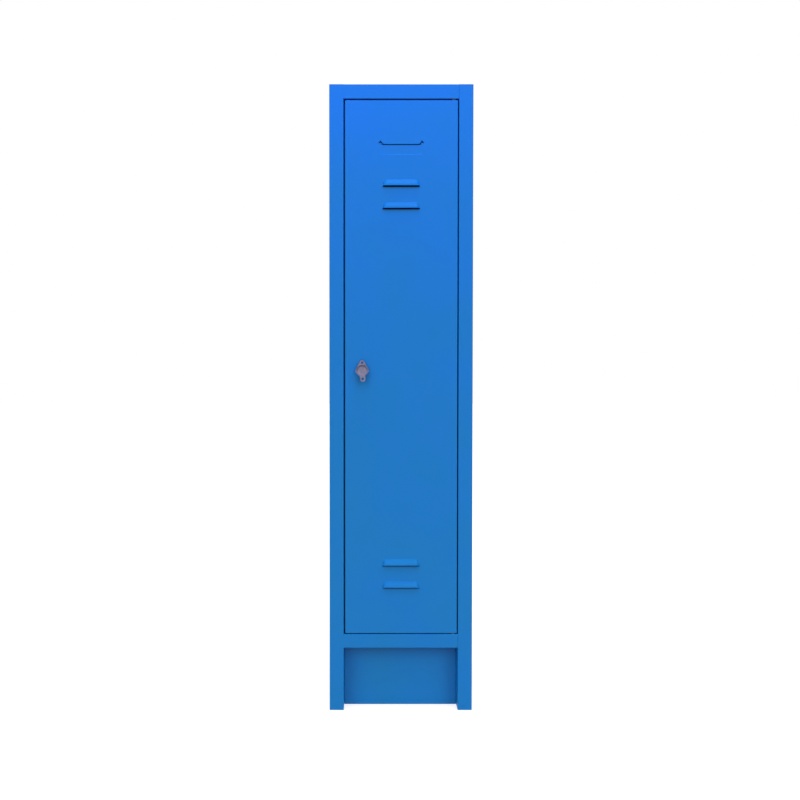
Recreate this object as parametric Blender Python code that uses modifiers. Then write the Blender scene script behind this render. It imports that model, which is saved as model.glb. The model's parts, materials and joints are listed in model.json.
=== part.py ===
"""Single-door steel clothes locker on a recessed kick plate, at rest with the door shut.

X runs to the right, Y from front to back and Z up. The origin is on the floor, in the middle of
the whole box, knob included. Sheet-metal pieces are open surfaces, folded, rounded at their bends
and given the thickness of their sheet.
"""

import math

import bmesh
import bpy
from mathutils import Matrix, Vector
from mathutils.geometry import convex_hull_2d

MM = 0.001

# Overall sizes
HEIGHT = 1800 * MM
WIDTH = 412 * MM
DEPTH = 500 * MM

# Sheet metal
SHEET = 0.8 * MM
DOOR_SHEET = 1.0 * MM
ANGLE_SHEET = 1.2 * MM
BEND = 2.0 * MM
BEND_STEPS = 3
SEAM = 0.3 * MM

# Front frame
STILE_WIDTH = 41 * MM
JAMB_DEPTH = 66 * MM
REAR_FLANGE = 20 * MM
TOP_RAIL = 41 * MM
BOTTOM_RAIL = 40 * MM
FLOOR_HEIGHT = 221 * MM
RAIL_RETURN = 30 * MM
PANEL_FLANGE = 20 * MM

# Plinth and feet
KICK_RECESS = 50 * MM
KICK_FLANGE = 14 * MM
FOOT_LEG = 25 * MM
FOOT_TREAD = 20 * MM
FOOT_SETBACK = 5 * MM

# Door
HINGE_GAP = 3.0 * MM
LATCH_GAP = 4.0 * MM
TOP_GAP = 4.0 * MM
BOTTOM_GAP = 2.6 * MM
DOOR_THICKNESS = 20 * MM
DOOR_LIP = 12 * MM
STIFFENER_WIDTH = 50 * MM
STIFFENER_DEPTH = 15 * MM
STIFFENER_FLANGE = 15 * MM
STIFFENER_MARGIN = 30 * MM

# Pressed louvres
LOUVRE_WIDTH = 106 * MM
LOUVRE_HEIGHT = 18 * MM
LOUVRE_PROUD = 8 * MM
LOUVRE_LIP = 4 * MM
LOUVRE_SLOT = 3.5 * MM
LOUVRE_END_SLOPE = 2 * MM
LOUVRE_TOP_TAPER = 7 * MM
LOUVRE_ROUND = 1.5 * MM
LOUVRE_PITCH = 64 * MM
UPPER_LOUVRE_DROP = 243 * MM
LOWER_LOUVRE_RISE = 134 * MM

# Pressed label pocket
LABEL_WIDTH = 126 * MM
LABEL_HEIGHT = 30 * MM
LABEL_DEPTH = 1.2 * MM
LABEL_RAMP = 2.5 * MM
LABEL_DROP = 125 * MM
SLIT_WIDTH = 1.8 * MM
SLIT_LENGTH = 105 * MM
SLIT_EAR_RUN = 7 * MM
SLIT_EAR_RISE = 9 * MM
SLIT_EAR_TAIL = 0.5 * MM
SLIT_EAR_DROP = 5 * MM

# Pivot hinge
HINGE_INSET = 12 * MM
HINGE_SETBACK = 8 * MM
PIN_RADIUS = 3.0 * MM
PIN_REACH = 12 * MM
PIN_COLLAR_RADIUS = 5.5 * MM
PIN_COLLAR = 3 * MM
BUSH_WALL = 1.7 * MM
BUSH_FLANGE_RADIUS = 7 * MM
BUSH_LENGTH = 7 * MM
RUNNING_GAP = 0.3 * MM

# Lock
LOCK_HEIGHT = 983 * MM
LOCK_BACKSET = 49 * MM
LOCK_STANDOFF = 7 * MM
LOCK_PLATE = 5 * MM
LOCK_POT_RADIUS = 17 * MM
LOCK_SIDE_RADIUS = 6 * MM
LOCK_HALF_WIDTH = 20 * MM
LOCK_LUG_RADIUS = 7.5 * MM
LOCK_CHIN_RADIUS = 8 * MM
PADLOCK_EYE_RADIUS = 3.2 * MM
PADLOCK_EYE_REACH = 23.5 * MM
BARREL_RADIUS = 9.2 * MM
KNOB_GAP = 0.4 * MM
KNOB_PLATE = 5 * MM
KNOB_CROWN = 4 * MM
KNOB_RADIUS = 16 * MM
KNOB_CROWN_RADIUS = 14 * MM
TAIL_RADIUS = 8 * MM
TAIL_THICKNESS = 4 * MM
KNOB_REST_TILT = math.radians(5)
SPINDLE_RADIUS = 4.5 * MM
NUT_RADIUS = 14 * MM
NUT_THICKNESS = 5 * MM
WASHER_RADIUS = 13 * MM
WASHER_THICKNESS = 1.0 * MM
CAM_THICKNESS = 3 * MM
CAM_REACH = 49 * MM
CAM_HUB_RADIUS = 9 * MM
CAM_TIP_RADIUS = 6 * MM
CAM_GAP = 1.0 * MM
SCREW_RADIUS = 2.0 * MM
SCREW_LENGTH = 9 * MM
SCREW_HEAD_RADIUS = 5 * MM
SCREW_HEAD = 2.5 * MM
EDGE_ROUND = 0.8 * MM

# Door stop on the latch jamb
STOP_GAP = 3.0 * MM
STOP_LIP = 14 * MM
STOP_LEG = 22 * MM
STOP_END_GAP = 9 * MM
BUFFER_RADIUS = 4 * MM
BUFFER_ROUND = 1.0 * MM
BUFFER_INSET = 200 * MM

# Inside
SHELF_DROP = 320 * MM
SHELF_FLANGE = 20 * MM
SHELF_LIP = 8 * MM
SHELF_PLAY = 1.0 * MM
SHELF_SETBACK = 8 * MM
BRACKET_LEG = 25 * MM
BRACKET_TREAD = 20 * MM
BRACKET_SETBACK = 40 * MM
RAIL_DROP = 80 * MM
RAIL_TALL = 30 * MM
RAIL_WIDE = 15 * MM
RAIL_WALL = 1.2 * MM
SOCKET_PLATE = 2 * MM
SOCKET_CUP = 12 * MM
SOCKET_WALL = 3 * MM
SOCKET_FLANGE = 9 * MM
HOOK_WIDTH = 14 * MM
HOOK_GAP = 0.4 * MM
HOOK_WALL = 3 * MM
HOOK_ROD_RADIUS = 3.5 * MM
HOOK_BEND_RADIUS = 12 * MM
HOOK_STEM = 16 * MM
HOOK_TIP = 8 * MM
HOOK_PLACES = (-70 * MM, 70 * MM)

# Fineness of the curved shapes, and margins of the cuts and welds
ROUND_STEPS = 24
ARC_STEPS = 8
EDGE_STEPS = 2
FOLD_ANGLE = math.radians(30)
PRESSED_ANGLE = math.radians(20)
EDGE_ANGLE = math.radians(60)
SMOOTH_ANGLE = math.radians(35)
CUT_MARGIN = 2 * MM
WELD = 0.01 * MM

# Places worked out from the sizes above
KNOB_BACK = LOCK_STANDOFF + LOCK_PLATE + SEAM + KNOB_GAP
KNOB_FRONT = KNOB_BACK + KNOB_PLATE + KNOB_CROWN
FRONT = (KNOB_FRONT - DEPTH) / 2
BACK = FRONT + DEPTH
HALF_WIDTH = WIDTH / 2
OPENING_HALF = HALF_WIDTH - STILE_WIDTH
OPENING_TOP = HEIGHT - TOP_RAIL
INNER_HALF = HALF_WIDTH - SHEET - SEAM
PANEL_BACK = BACK - 2 * (SHEET + SEAM)
DOOR_LEFT = LATCH_GAP - OPENING_HALF
DOOR_RIGHT = OPENING_HALF - HINGE_GAP
DOOR_BOTTOM = FLOOR_HEIGHT + BOTTOM_GAP
DOOR_TOP = OPENING_TOP - TOP_GAP
DOOR_BACK = FRONT + DOOR_THICKNESS
HINGE_X = DOOR_RIGHT - HINGE_INSET
HINGE_Y = FRONT + HINGE_SETBACK
LOCK_X = DOOR_LEFT + LOCK_BACKSET
STOP_FRONT = DOOR_THICKNESS + STOP_GAP
CAM_FRONT = STOP_FRONT + ANGLE_SHEET + CAM_GAP
LOCK_CHIN_REACH = PADLOCK_EYE_REACH - PADLOCK_EYE_RADIUS - SEAM
SPINDLE_SQUARE = math.sqrt(2) * (SPINDLE_RADIUS - SEAM)
LABEL_TOP = DOOR_TOP - LABEL_DROP
UPPER_LOUVRES = (DOOR_TOP - UPPER_LOUVRE_DROP, DOOR_TOP - UPPER_LOUVRE_DROP - LOUVRE_PITCH)
LOWER_LOUVRES = (DOOR_BOTTOM + LOWER_LOUVRE_RISE + LOUVRE_PITCH, DOOR_BOTTOM + LOWER_LOUVRE_RISE)
SHELF_HEIGHT = HEIGHT - SHELF_DROP
RAIL_HEIGHT = SHELF_HEIGHT - RAIL_DROP
RAIL_Y = (FRONT + JAMB_DEPTH + PANEL_BACK) / 2


def make_collection(name):
    collection = bpy.data.collections.new(name)
    bpy.context.scene.collection.children.link(collection)
    return collection


def clear_scene():
    for obj in list(bpy.data.objects):
        bpy.data.objects.remove(obj, do_unlink=True)


clear_scene()
PARTS = make_collection("locker")
CUTTERS = make_collection("locker cutters")


def linear(hex_colour):
    """The linear RGBA of an sRGB hex colour."""
    channels = [int(hex_colour[i : i + 2], 16) / 255 for i in (1, 3, 5)]
    return [c / 12.92 if c <= 0.04045 else ((c + 0.055) / 1.055) ** 2.4 for c in channels] + [1.0]


def finish(name, hex_colour, roughness, metallic):
    material = bpy.data.materials.new(name)
    material.use_nodes = True
    shader = material.node_tree.nodes["Principled BSDF"]
    shader.inputs["Base Color"].default_value = linear(hex_colour)
    shader.inputs["Roughness"].default_value = roughness
    shader.inputs["Metallic"].default_value = metallic
    return material


BLUE_PAINT = finish("blue powder coat", "#247CD0", 0.45, 0.0)
ZINC = finish("die-cast zinc", "#8C8AA0", 0.40, 1.0)
PLATED_STEEL = finish("zinc-plated steel", "#B4B8BC", 0.35, 1.0)
CHROMED_STEEL = finish("chromed steel", "#C8CACC", 0.18, 1.0)
GREY_NYLON = finish("grey nylon", "#5A6068", 0.55, 0.0)
BLACK_RUBBER = finish("black rubber", "#1B1C1E", 0.80, 0.0)


def new_object(name, bm, material=None):
    """A part from a bmesh, or a hidden cutter where no material is given."""
    mesh = bpy.data.meshes.new(name)
    bm.to_mesh(mesh)
    bm.free()
    obj = bpy.data.objects.new(name, mesh)
    place_object(obj, material)
    return obj


def place_object(obj, material):
    if material is None:
        CUTTERS.objects.link(obj)
        obj.hide_render = True
        obj.display_type = "WIRE"
    else:
        PARTS.objects.link(obj)
        obj.data.materials.append(material)


def block(low, high):
    """A bmesh box between two corners."""
    bm = bmesh.new()
    bmesh.ops.create_cube(bm, size=1.0)
    low, high = Vector(low), Vector(high)
    bmesh.ops.scale(bm, vec=high - low, verts=bm.verts)
    bmesh.ops.translate(bm, vec=(low + high) / 2, verts=bm.verts)
    return bm


def facing(bm, direction):
    """The faces of a bmesh that look along a direction."""
    bm.normal_update()
    return [face for face in bm.faces if face.normal.dot(Vector(direction)) > 0.9]


def add_bend_and_gauge(obj, thickness, side=-1):
    """Rounds the folds of an open surface and gives it its thickness, inwards by default."""
    bends = obj.modifiers.new("bends", "BEVEL")
    bends.width = BEND
    bends.segments = BEND_STEPS
    bends.limit_method = "ANGLE"
    bends.angle_limit = FOLD_ANGLE
    gauge = obj.modifiers.new("gauge", "SOLIDIFY")
    gauge.thickness = thickness
    gauge.offset = side
    gauge.use_even_offset = True


def sheet_strip(name, path, start, end, to_point, thickness, material, side):
    """A strip of sheet folded along a path and drawn out from start to end along the third axis."""
    bm = bmesh.new()
    verts = [bm.verts.new(to_point(a, b, start)) for a, b in path]
    edges = [bm.edges.new(pair) for pair in zip(verts, verts[1:])]
    drawn = bmesh.ops.extrude_edge_only(bm, edges=edges)["geom"]
    travel = to_point(0, 0, end) - to_point(0, 0, start)
    bmesh.ops.translate(bm, vec=travel, verts=[v for v in drawn if isinstance(v, bmesh.types.BMVert)])
    obj = new_object(name, bm, material)
    add_bend_and_gauge(obj, thickness, side)
    return obj


def upright(a, b, height):
    return Vector((a, b, height))


def lengthways(a, b, depth):
    return Vector((a, depth, b))


def combine(obj, tool, operation):
    """Cuts a tool from a piece or joins it on; the tool then moves with the piece."""
    step = obj.modifiers.new(tool.name, "BOOLEAN")
    step.operation = operation
    step.solver = "EXACT"
    step.object = tool
    tool.parent = obj
    tool.matrix_parent_inverse = obj.matrix_world.inverted()


def cut_block(obj, name, low, high):
    combine(obj, new_object(name, block(low, high)), "DIFFERENCE")


def cut_round(obj, name, radius, length, frame):
    """Cuts a round hole centred on a frame, along the frame's Z."""
    bm = bmesh.new()
    bmesh.ops.create_cone(
        bm,
        cap_ends=True,
        segments=ROUND_STEPS,
        radius1=radius,
        radius2=radius,
        depth=length,
        matrix=frame,
    )
    combine(obj, new_object(name, bm), "DIFFERENCE")


def turned(name, profile, frame, material=None, closed=False):
    """A shape turned about its frame's Z from (radius, height) points, outer side from top to bottom."""
    bm = bmesh.new()
    verts = [bm.verts.new((radius, 0, height)) for radius, height in profile]
    for pair in zip(verts, verts[1:]):
        bm.edges.new(pair)
    if closed:
        bm.edges.new((verts[-1], verts[0]))
    obj = new_object(name, bm, material)
    obj.matrix_world = frame
    turn = obj.modifiers.new("turn", "SCREW")
    turn.steps = ROUND_STEPS
    turn.render_steps = ROUND_STEPS
    turn.use_merge_vertices = True
    turn.merge_threshold = WELD
    turn.use_smooth_shade = True
    return obj


def circle(x, y, radius, steps=ROUND_STEPS):
    turns = [2 * math.pi * step / steps for step in range(steps)]
    return [Vector((x + radius * math.cos(t), y + radius * math.sin(t))) for t in turns]


def rounded_hull(*circles):
    """The outline of a band stretched round circles."""
    points = [point for c in circles for point in circle(*c)]
    return [points[i] for i in convex_hull_2d(points)]


def rectangle(width, height):
    x, y = width / 2, height / 2
    return [Vector((-x, -y)), Vector((x, -y)), Vector((x, y)), Vector((-x, y))]


def plate(name, outlines, thickness, frame, material=None, rounding=0.0):
    """A flat plate from outlines, holes included, in the middle of its frame's XY plane."""
    curve = bpy.data.curves.new(name, "CURVE")
    curve.dimensions = "2D"
    curve.fill_mode = "BOTH"
    curve.extrude = thickness / 2
    for outline in outlines:
        spline = curve.splines.new("POLY")
        spline.points.add(len(outline) - 1)
        for point, place in zip(spline.points, outline):
            point.co = (place.x, place.y, 0, 1)
        spline.use_cyclic_u = True
    obj = solid_from_curve(name, curve, frame, material)
    if rounding:
        edges = obj.modifiers.new("rounded edges", "BEVEL")
        edges.width = rounding
        edges.segments = EDGE_STEPS
        edges.limit_method = "ANGLE"
        edges.angle_limit = EDGE_ANGLE
    return obj


def solid_from_curve(name, curve, frame, material):
    """The closed mesh of a curve, with its caps welded on."""
    guide = bpy.data.objects.new(name + " guide", curve)
    bpy.context.scene.collection.objects.link(guide)
    bpy.context.view_layer.update()
    evaluated = guide.evaluated_get(bpy.context.evaluated_depsgraph_get())
    mesh = bpy.data.meshes.new_from_object(evaluated)
    bpy.data.objects.remove(guide, do_unlink=True)
    mesh.name = name
    bm = bmesh.new()
    bm.from_mesh(mesh)
    bmesh.ops.remove_doubles(bm, verts=bm.verts, dist=WELD)
    bmesh.ops.recalc_face_normals(bm, faces=bm.faces)
    bm.to_mesh(mesh)
    bm.free()
    mesh.shade_smooth()
    mesh.set_sharp_from_angle(angle=SMOOTH_ANGLE)
    obj = bpy.data.objects.new(name, mesh)
    place_object(obj, material)
    obj.matrix_world = frame
    return obj


def rod(name, points, radius, frame):
    """A round rod along points, as a cutter or a shape to join on."""
    curve = bpy.data.curves.new(name, "CURVE")
    curve.dimensions = "3D"
    curve.bevel_depth = radius
    curve.bevel_resolution = 2
    curve.use_fill_caps = True
    spline = curve.splines.new("POLY")
    spline.points.add(len(points) - 1)
    for point, place in zip(spline.points, points):
        point.co = (*place, 1)
    return solid_from_curve(name, curve, frame, None)


def tapered_block(name, near, far, rounding=0.0):
    """A block between a near and a far face, each given as (y, bottom z, top z, bottom half, top half)."""
    bm = bmesh.new()
    bmesh.ops.create_cube(bm, size=2.0)
    for vert in bm.verts:
        y, bottom, top, bottom_half, top_half = near if vert.co.y > 0 else far
        half = top_half if vert.co.z > 0 else bottom_half
        vert.co = (math.copysign(half, vert.co.x), y, top if vert.co.z > 0 else bottom)
    obj = new_object(name, bm)
    if rounding:
        edges = obj.modifiers.new("pressed edges", "BEVEL")
        edges.width = rounding
        edges.segments = EDGE_STEPS
        edges.limit_method = "ANGLE"
        edges.angle_limit = PRESSED_ANGLE
    return obj


def carry(axis, *pieces):
    """Hangs pieces on an empty without moving them."""
    bpy.context.view_layer.update()
    for piece in pieces:
        piece.parent = axis
        piece.matrix_parent_inverse = axis.matrix_world.inverted()


def axis_empty(name, place):
    empty = bpy.data.objects.new(name, None)
    empty.empty_display_size = 0.05
    empty.location = place
    PARTS.objects.link(empty)
    bpy.context.view_layer.update()
    return empty


def side_panels():
    """One folded sheet a side: rear flange, wall, and a stile and jamb that return to the wall as a box."""
    for name, side in (("left_side_panel", -1), ("right_side_panel", 1)):
        outer = side * HALF_WIDTH
        inner = side * OPENING_HALF
        path = [
            (outer - side * REAR_FLANGE, BACK),
            (outer, BACK),
            (outer, FRONT),
            (inner, FRONT),
            (inner, FRONT + JAMB_DEPTH),
            (side * INNER_HALF, FRONT + JAMB_DEPTH),
        ]
        panel = sheet_strip(name, path, 0, HEIGHT, upright, SHEET, BLUE_PAINT, -side)
        reach = INNER_HALF + SEAM / 2
        low = (-reach, FRONT + SHEET + SEAM / 2, HEIGHT - SHEET - SEAM)
        high = (reach, BACK - SHEET - SEAM / 2, HEIGHT + CUT_MARGIN)
        cut_block(panel, name + " roof seat", low, high)


def back_panel():
    """Flat sheet inside the rear flanges, clear of their bends."""
    rear = BACK - SHEET - SEAM
    half = HALF_WIDTH - BEND - SEAM
    new_object("back_panel", block((-half, rear - SHEET, 0), (half, rear, HEIGHT)), BLUE_PAINT)


def railed_panel(name, top, rail, notch):
    """A horizontal panel with flanges turned down at the sides and back, and a rail between the stiles.

    The front corners of the sheet are notched to the given depth, to pass round the stiles.
    """
    rail_half = OPENING_HALF - SEAM
    bm = block((-INNER_HALF, FRONT, top - PANEL_FLANGE), (INNER_HALF, PANEL_BACK, top))
    bmesh.ops.delete(bm, geom=facing(bm, (0, 0, -1)), context="FACES_ONLY")
    cuts = [((-rail_half, 0, 0), (1, 0, 0)), ((rail_half, 0, 0), (1, 0, 0))]
    if notch:
        cuts.append(((0, FRONT + notch, 0), (0, 1, 0)))
    for place, normal in cuts:
        geometry = bm.verts[:] + bm.edges[:] + bm.faces[:]
        bmesh.ops.bisect_plane(bm, geom=geometry, plane_co=place, plane_no=normal)
    ends = [face for face in facing(bm, (0, -1, 0)) if abs(face.calc_center_median().x) > rail_half]
    for face in bm.faces:
        centre = face.calc_center_median()
        if centre.y < FRONT + notch and abs(centre.x) > rail_half and face not in ends:
            ends.append(face)
    bmesh.ops.delete(bm, geom=ends, context="FACES")
    rail_face = facing(bm, (0, -1, 0))[0]
    edge = min(rail_face.edges, key=lambda e: e.verts[0].co.z + e.verts[1].co.z)
    for step in ((0, 0, PANEL_FLANGE - rail), (0, RAIL_RETURN, 0)):
        drawn = bmesh.ops.extrude_edge_only(bm, edges=[edge])["geom"]
        verts = [v for v in drawn if isinstance(v, bmesh.types.BMVert)]
        bmesh.ops.translate(bm, vec=step, verts=verts)
        edge = next(e for e in drawn if isinstance(e, bmesh.types.BMEdge) and set(e.verts) == set(verts))
    panel = new_object(name, bm, BLUE_PAINT)
    add_bend_and_gauge(panel, SHEET)
    return panel


def hinge_hole(piece, height, radius):
    frame = Matrix.Translation((HINGE_X, HINGE_Y, height))
    cut_round(piece, f"{piece.name} pivot hole", radius, 2 * (DOOR_SHEET + CUT_MARGIN), frame)


def top_panel():
    """Roof sheet and top rail; the sheet runs over both stiles, behind their faces."""
    panel = railed_panel("top_panel", HEIGHT, TOP_RAIL, 0)
    for side in (-1, 1):
        ends = sorted((side * (OPENING_HALF - SEAM), side * (HALF_WIDTH + CUT_MARGIN)))
        low = (ends[0], FRONT - CUT_MARGIN, OPENING_TOP - CUT_MARGIN)
        face_high = (ends[1], FRONT + SHEET + SEAM, HEIGHT + CUT_MARGIN)
        cut_block(panel, f"roof front edge {side}", low, face_high)
        under_high = (ends[1], FRONT + JAMB_DEPTH + SEAM, HEIGHT - SHEET - SEAM / 3)
        cut_block(panel, f"roof flange end {side}", low, under_high)
    hinge_hole(panel, OPENING_TOP, PIN_RADIUS + RUNNING_GAP)


def bottom_panel():
    """Floor of the compartment and bottom rail, notched round both stiles."""
    panel = railed_panel("bottom_panel", FLOOR_HEIGHT, BOTTOM_RAIL, JAMB_DEPTH + SEAM)
    hinge_hole(panel, FLOOR_HEIGHT, PIN_RADIUS + RUNNING_GAP)


def folded_tray(name, low, high, open_side, lip, thickness):
    """A tray open on one side, with a lip turned in round the opening."""
    bm = block(low, high)
    mouth = facing(bm, open_side)
    if lip:
        bmesh.ops.inset_region(bm, faces=mouth, thickness=lip, use_even_offset=True)
    bmesh.ops.delete(bm, geom=mouth, context="FACES_ONLY")
    tray = new_object(name, bm, BLUE_PAINT)
    add_bend_and_gauge(tray, thickness)
    return tray


def kick_plate():
    front = FRONT + KICK_RECESS
    half = OPENING_HALF - SEAM
    top = FLOOR_HEIGHT - SHEET - SEAM
    folded_tray("kick_plate", (-half, front, 0), (half, front + KICK_FLANGE, top), (0, 1, 0), 0, SHEET)


def angles_on_sides(kind, height, leg, tread, start, end, tread_low):
    """A pair of folded angles on the side walls, with the tread below or above the leg."""
    for name, side in (("left_" + kind, -1), ("right_" + kind, 1)):
        wall = side * INNER_HALF
        leg_end = height + leg if tread_low else height - leg
        path = [(wall, leg_end), (wall, height), (wall - side * tread, height)]
        metal = side if tread_low else -side
        sheet_strip(name, path, start, end, lengthways, ANGLE_SHEET, BLUE_PAINT, metal)


def foot_runners():
    start = FRONT + JAMB_DEPTH + FOOT_SETBACK
    angles_on_sides("foot_runner", 0, FOOT_LEG, FOOT_TREAD, start, PANEL_BACK - FOOT_SETBACK, True)


def hat_shelf():
    half = INNER_HALF - SHELF_PLAY
    front = FRONT + JAMB_DEPTH + SHELF_SETBACK
    low = (-half, front, SHELF_HEIGHT - SHELF_FLANGE)
    high = (half, PANEL_BACK - SHELF_PLAY, SHELF_HEIGHT)
    folded_tray("hat_shelf", low, high, (0, 0, -1), SHELF_LIP, SHEET)
    tread = SHELF_HEIGHT - SHELF_FLANGE - SEAM
    start, end = front + BRACKET_SETBACK, PANEL_BACK - BRACKET_SETBACK
    angles_on_sides("shelf_bracket", tread, BRACKET_LEG, BRACKET_TREAD, start, end, False)


def stadium(half_width, half_height):
    """An oval outline with straight sides, taller than it is wide."""
    offset = half_height - half_width
    return rounded_hull((0, -offset, half_width), (0, offset, half_width))


def across(x):
    """A frame at the coat rail whose Z runs along +X, with its X along Y and its Y up."""
    turn = Matrix(((0, 0, 1), (1, 0, 0), (0, 1, 0))).to_4x4()
    return Matrix.Translation((x, RAIL_Y, RAIL_HEIGHT)) @ turn


def coat_rail():
    """Oval tube between two cups on the side walls."""
    outer = (RAIL_WIDE / 2, RAIL_TALL / 2)
    rail_half = INNER_HALF - SOCKET_PLATE - SEAM
    bore = [size - RAIL_WALL for size in outer]
    plate("coat_rail", [stadium(*outer), stadium(*bore)], 2 * rail_half, across(0), CHROMED_STEEL)
    mouth = [size + RUNNING_GAP for size in outer]
    cup = [size + SOCKET_WALL for size in mouth]
    flange = [size + SOCKET_FLANGE for size in mouth]
    for name, side in (("left_rail_socket", -1), ("right_rail_socket", 1)):
        wall = INNER_HALF - SOCKET_PLATE / 2
        socket = plate(name, [stadium(*flange)], SOCKET_PLATE, across(side * wall), GREY_NYLON, EDGE_ROUND)
        overlap = SOCKET_PLATE / 2
        middle = INNER_HALF - SOCKET_PLATE + overlap - (SOCKET_CUP + overlap) / 2
        ring = [stadium(*cup), stadium(*mouth)]
        tool = plate(name + " cup", ring, SOCKET_CUP + overlap, across(side * middle))
        combine(socket, tool, "UNION")


def coat_hooks():
    """Plastic hooks that wrap round the oval rail and slide along it."""
    inner = (RAIL_WIDE / 2 + HOOK_GAP, RAIL_TALL / 2 + HOOK_GAP)
    outer = [size + HOOK_WALL for size in inner]
    top = -outer[1] + HOOK_WALL / 2
    bend = -outer[1] - HOOK_STEM
    turns = [math.pi * step / ARC_STEPS for step in range(ARC_STEPS + 1)]
    arc = [(HOOK_BEND_RADIUS * (math.cos(t) - 1), bend - HOOK_BEND_RADIUS * math.sin(t), 0) for t in turns]
    points = [(0, top, 0)] + arc + [(-2 * HOOK_BEND_RADIUS, bend + HOOK_TIP, 0)]
    for name, x in zip(("left_coat_hook", "right_coat_hook"), HOOK_PLACES):
        frame = across(x)
        hook = plate(name, [stadium(*outer), stadium(*inner)], HOOK_WIDTH, frame, GREY_NYLON, EDGE_ROUND)
        combine(hook, rod(name + " arm", points, HOOK_ROD_RADIUS, frame), "UNION")


def door_stop():
    """Angle on the latch jamb: the door shuts against its lip and the cam turns behind it."""
    jamb = -OPENING_HALF + SEAM
    front = FRONT + STOP_FRONT
    path = [(jamb, front + STOP_LEG), (jamb, front), (jamb + STOP_LIP, front)]
    start, end = FLOOR_HEIGHT + STOP_END_GAP, OPENING_TOP - STOP_END_GAP
    sheet_strip("door_stop", path, start, end, upright, ANGLE_SHEET, BLUE_PAINT, 1)
    length = STOP_GAP - 2 * SEAM
    x = jamb + STOP_LIP / 2 + SEAM
    profile = [(0, length), (BUFFER_RADIUS - BUFFER_ROUND, length), (BUFFER_RADIUS, length - BUFFER_ROUND)]
    profile += [(BUFFER_RADIUS, 0), (0, 0)]
    for name, height in (("upper_buffer", end - BUFFER_INSET), ("lower_buffer", start + BUFFER_INSET)):
        turned(name, profile, forward_frame(x, front - SEAM, height), BLACK_RUBBER)


def forward_frame(x, y, z):
    """A frame whose Z looks out of the door, with its X to the right and its Y up."""
    return Matrix.Translation((x, y, z)) @ Matrix.Rotation(math.pi / 2, 4, "X")


def hinge_ends():
    """The two ends of the hinge: name, frame on the sheet that looks into the door gap, and gap."""
    up = Matrix.Translation((HINGE_X, HINGE_Y, FLOOR_HEIGHT))
    down = Matrix.Translation((HINGE_X, HINGE_Y, OPENING_TOP)) @ Matrix.Rotation(math.pi, 4, "X")
    return ("lower", up, BOTTOM_GAP), ("upper", down, TOP_GAP)


def hinge_pins():
    """Pivot pins with a collar behind the sheet that carries them."""
    hidden = SHEET + SEAM
    for end, frame, gap in hinge_ends():
        reach = gap + PIN_REACH
        profile = [
            (0, reach),
            (PIN_RADIUS - EDGE_ROUND, reach),
            (PIN_RADIUS, reach - EDGE_ROUND),
            (PIN_RADIUS, -hidden),
            (PIN_COLLAR_RADIUS, -hidden),
            (PIN_COLLAR_RADIUS, -hidden - PIN_COLLAR),
            (0, -hidden - PIN_COLLAR),
        ]
        turned(f"{end}_hinge_pin", profile, frame, PLATED_STEEL)


def hinge_bushes():
    """Flanged nylon bushes in the door's end flanges, running on the pins."""
    bore = PIN_RADIUS + RUNNING_GAP
    body = bore + BUSH_WALL
    bushes = []
    for end, frame, gap in hinge_ends():
        top = gap + BUSH_LENGTH
        flange_low, flange_high = SEAM, gap - SEAM
        profile = [
            (bore, top),
            (body, top),
            (body, flange_high),
            (BUSH_FLANGE_RADIUS, flange_high),
            (BUSH_FLANGE_RADIUS, flange_low),
            (bore, flange_low),
        ]
        bushes.append(turned(f"{end}_hinge_bush", profile, frame, GREY_NYLON, closed=True))
    return bushes


def press_louvre(door, number, lip):
    """One hood pushed out of the skin, open along its lower edge."""
    top = lip + LOUVRE_HEIGHT
    half = LOUVRE_WIDTH / 2
    near = (FRONT + DOOR_SHEET / 2, lip, top, half, half - LOUVRE_TOP_TAPER)
    far_half = half - LOUVRE_END_SLOPE
    far = (FRONT - LOUVRE_PROUD, lip, lip + LOUVRE_LIP, far_half, far_half - DOOR_SHEET)
    combine(door, tapered_block(f"louvre {number} hood", near, far, LOUVRE_ROUND), "UNION")
    wall = DOOR_SHEET
    behind = FRONT + DOOR_SHEET + CUT_MARGIN
    below = lip - LOUVRE_SLOT
    near = (behind, below, top - wall, half - wall, half - LOUVRE_TOP_TAPER - wall)
    inner_half = far_half - wall
    far = (FRONT - LOUVRE_PROUD + wall, below, lip + LOUVRE_LIP - wall, inner_half, inner_half - wall)
    combine(door, tapered_block(f"louvre {number} hollow", near, far), "DIFFERENCE")


def press_label_pocket(door):
    """A shallow window pushed into the skin, with a slit along its top whose ends turn up."""
    half = LABEL_WIDTH / 2
    bottom = LABEL_TOP - LABEL_HEIGHT
    floor = FRONT + LABEL_DEPTH
    wall = DOOR_SHEET
    ramp_half = half - LABEL_RAMP
    near = (floor + wall, bottom + LABEL_RAMP - wall, LABEL_TOP + wall, ramp_half + wall, ramp_half + wall)
    far = (FRONT + wall / 2, bottom - wall, LABEL_TOP + wall, half + wall, half + wall)
    combine(door, tapered_block("label pocket back", near, far), "UNION")
    slit_half = SLIT_LENGTH / 2
    near = (floor, bottom + LABEL_RAMP, LABEL_TOP, ramp_half, slit_half)
    far = (FRONT - wall / 2, bottom, LABEL_TOP, half, half)
    combine(door, tapered_block("label pocket front", near, far), "DIFFERENCE")
    slit = LABEL_TOP - SLIT_WIDTH / 2
    ear = slit + SLIT_EAR_RISE
    ear_end = (half + SLIT_EAR_TAIL, ear - SLIT_EAR_DROP)
    half_path = [(slit_half, slit), (slit_half + SLIT_EAR_RUN, ear), ear_end]
    path = [(-x, z) for x, z in reversed(half_path)] + half_path
    start, end = FRONT - CUT_MARGIN, floor + wall + CUT_MARGIN
    cutter = sheet_strip("label slit", path, start, end, lengthways, SLIT_WIDTH, None, 0)
    combine(door, cutter, "DIFFERENCE")


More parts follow.
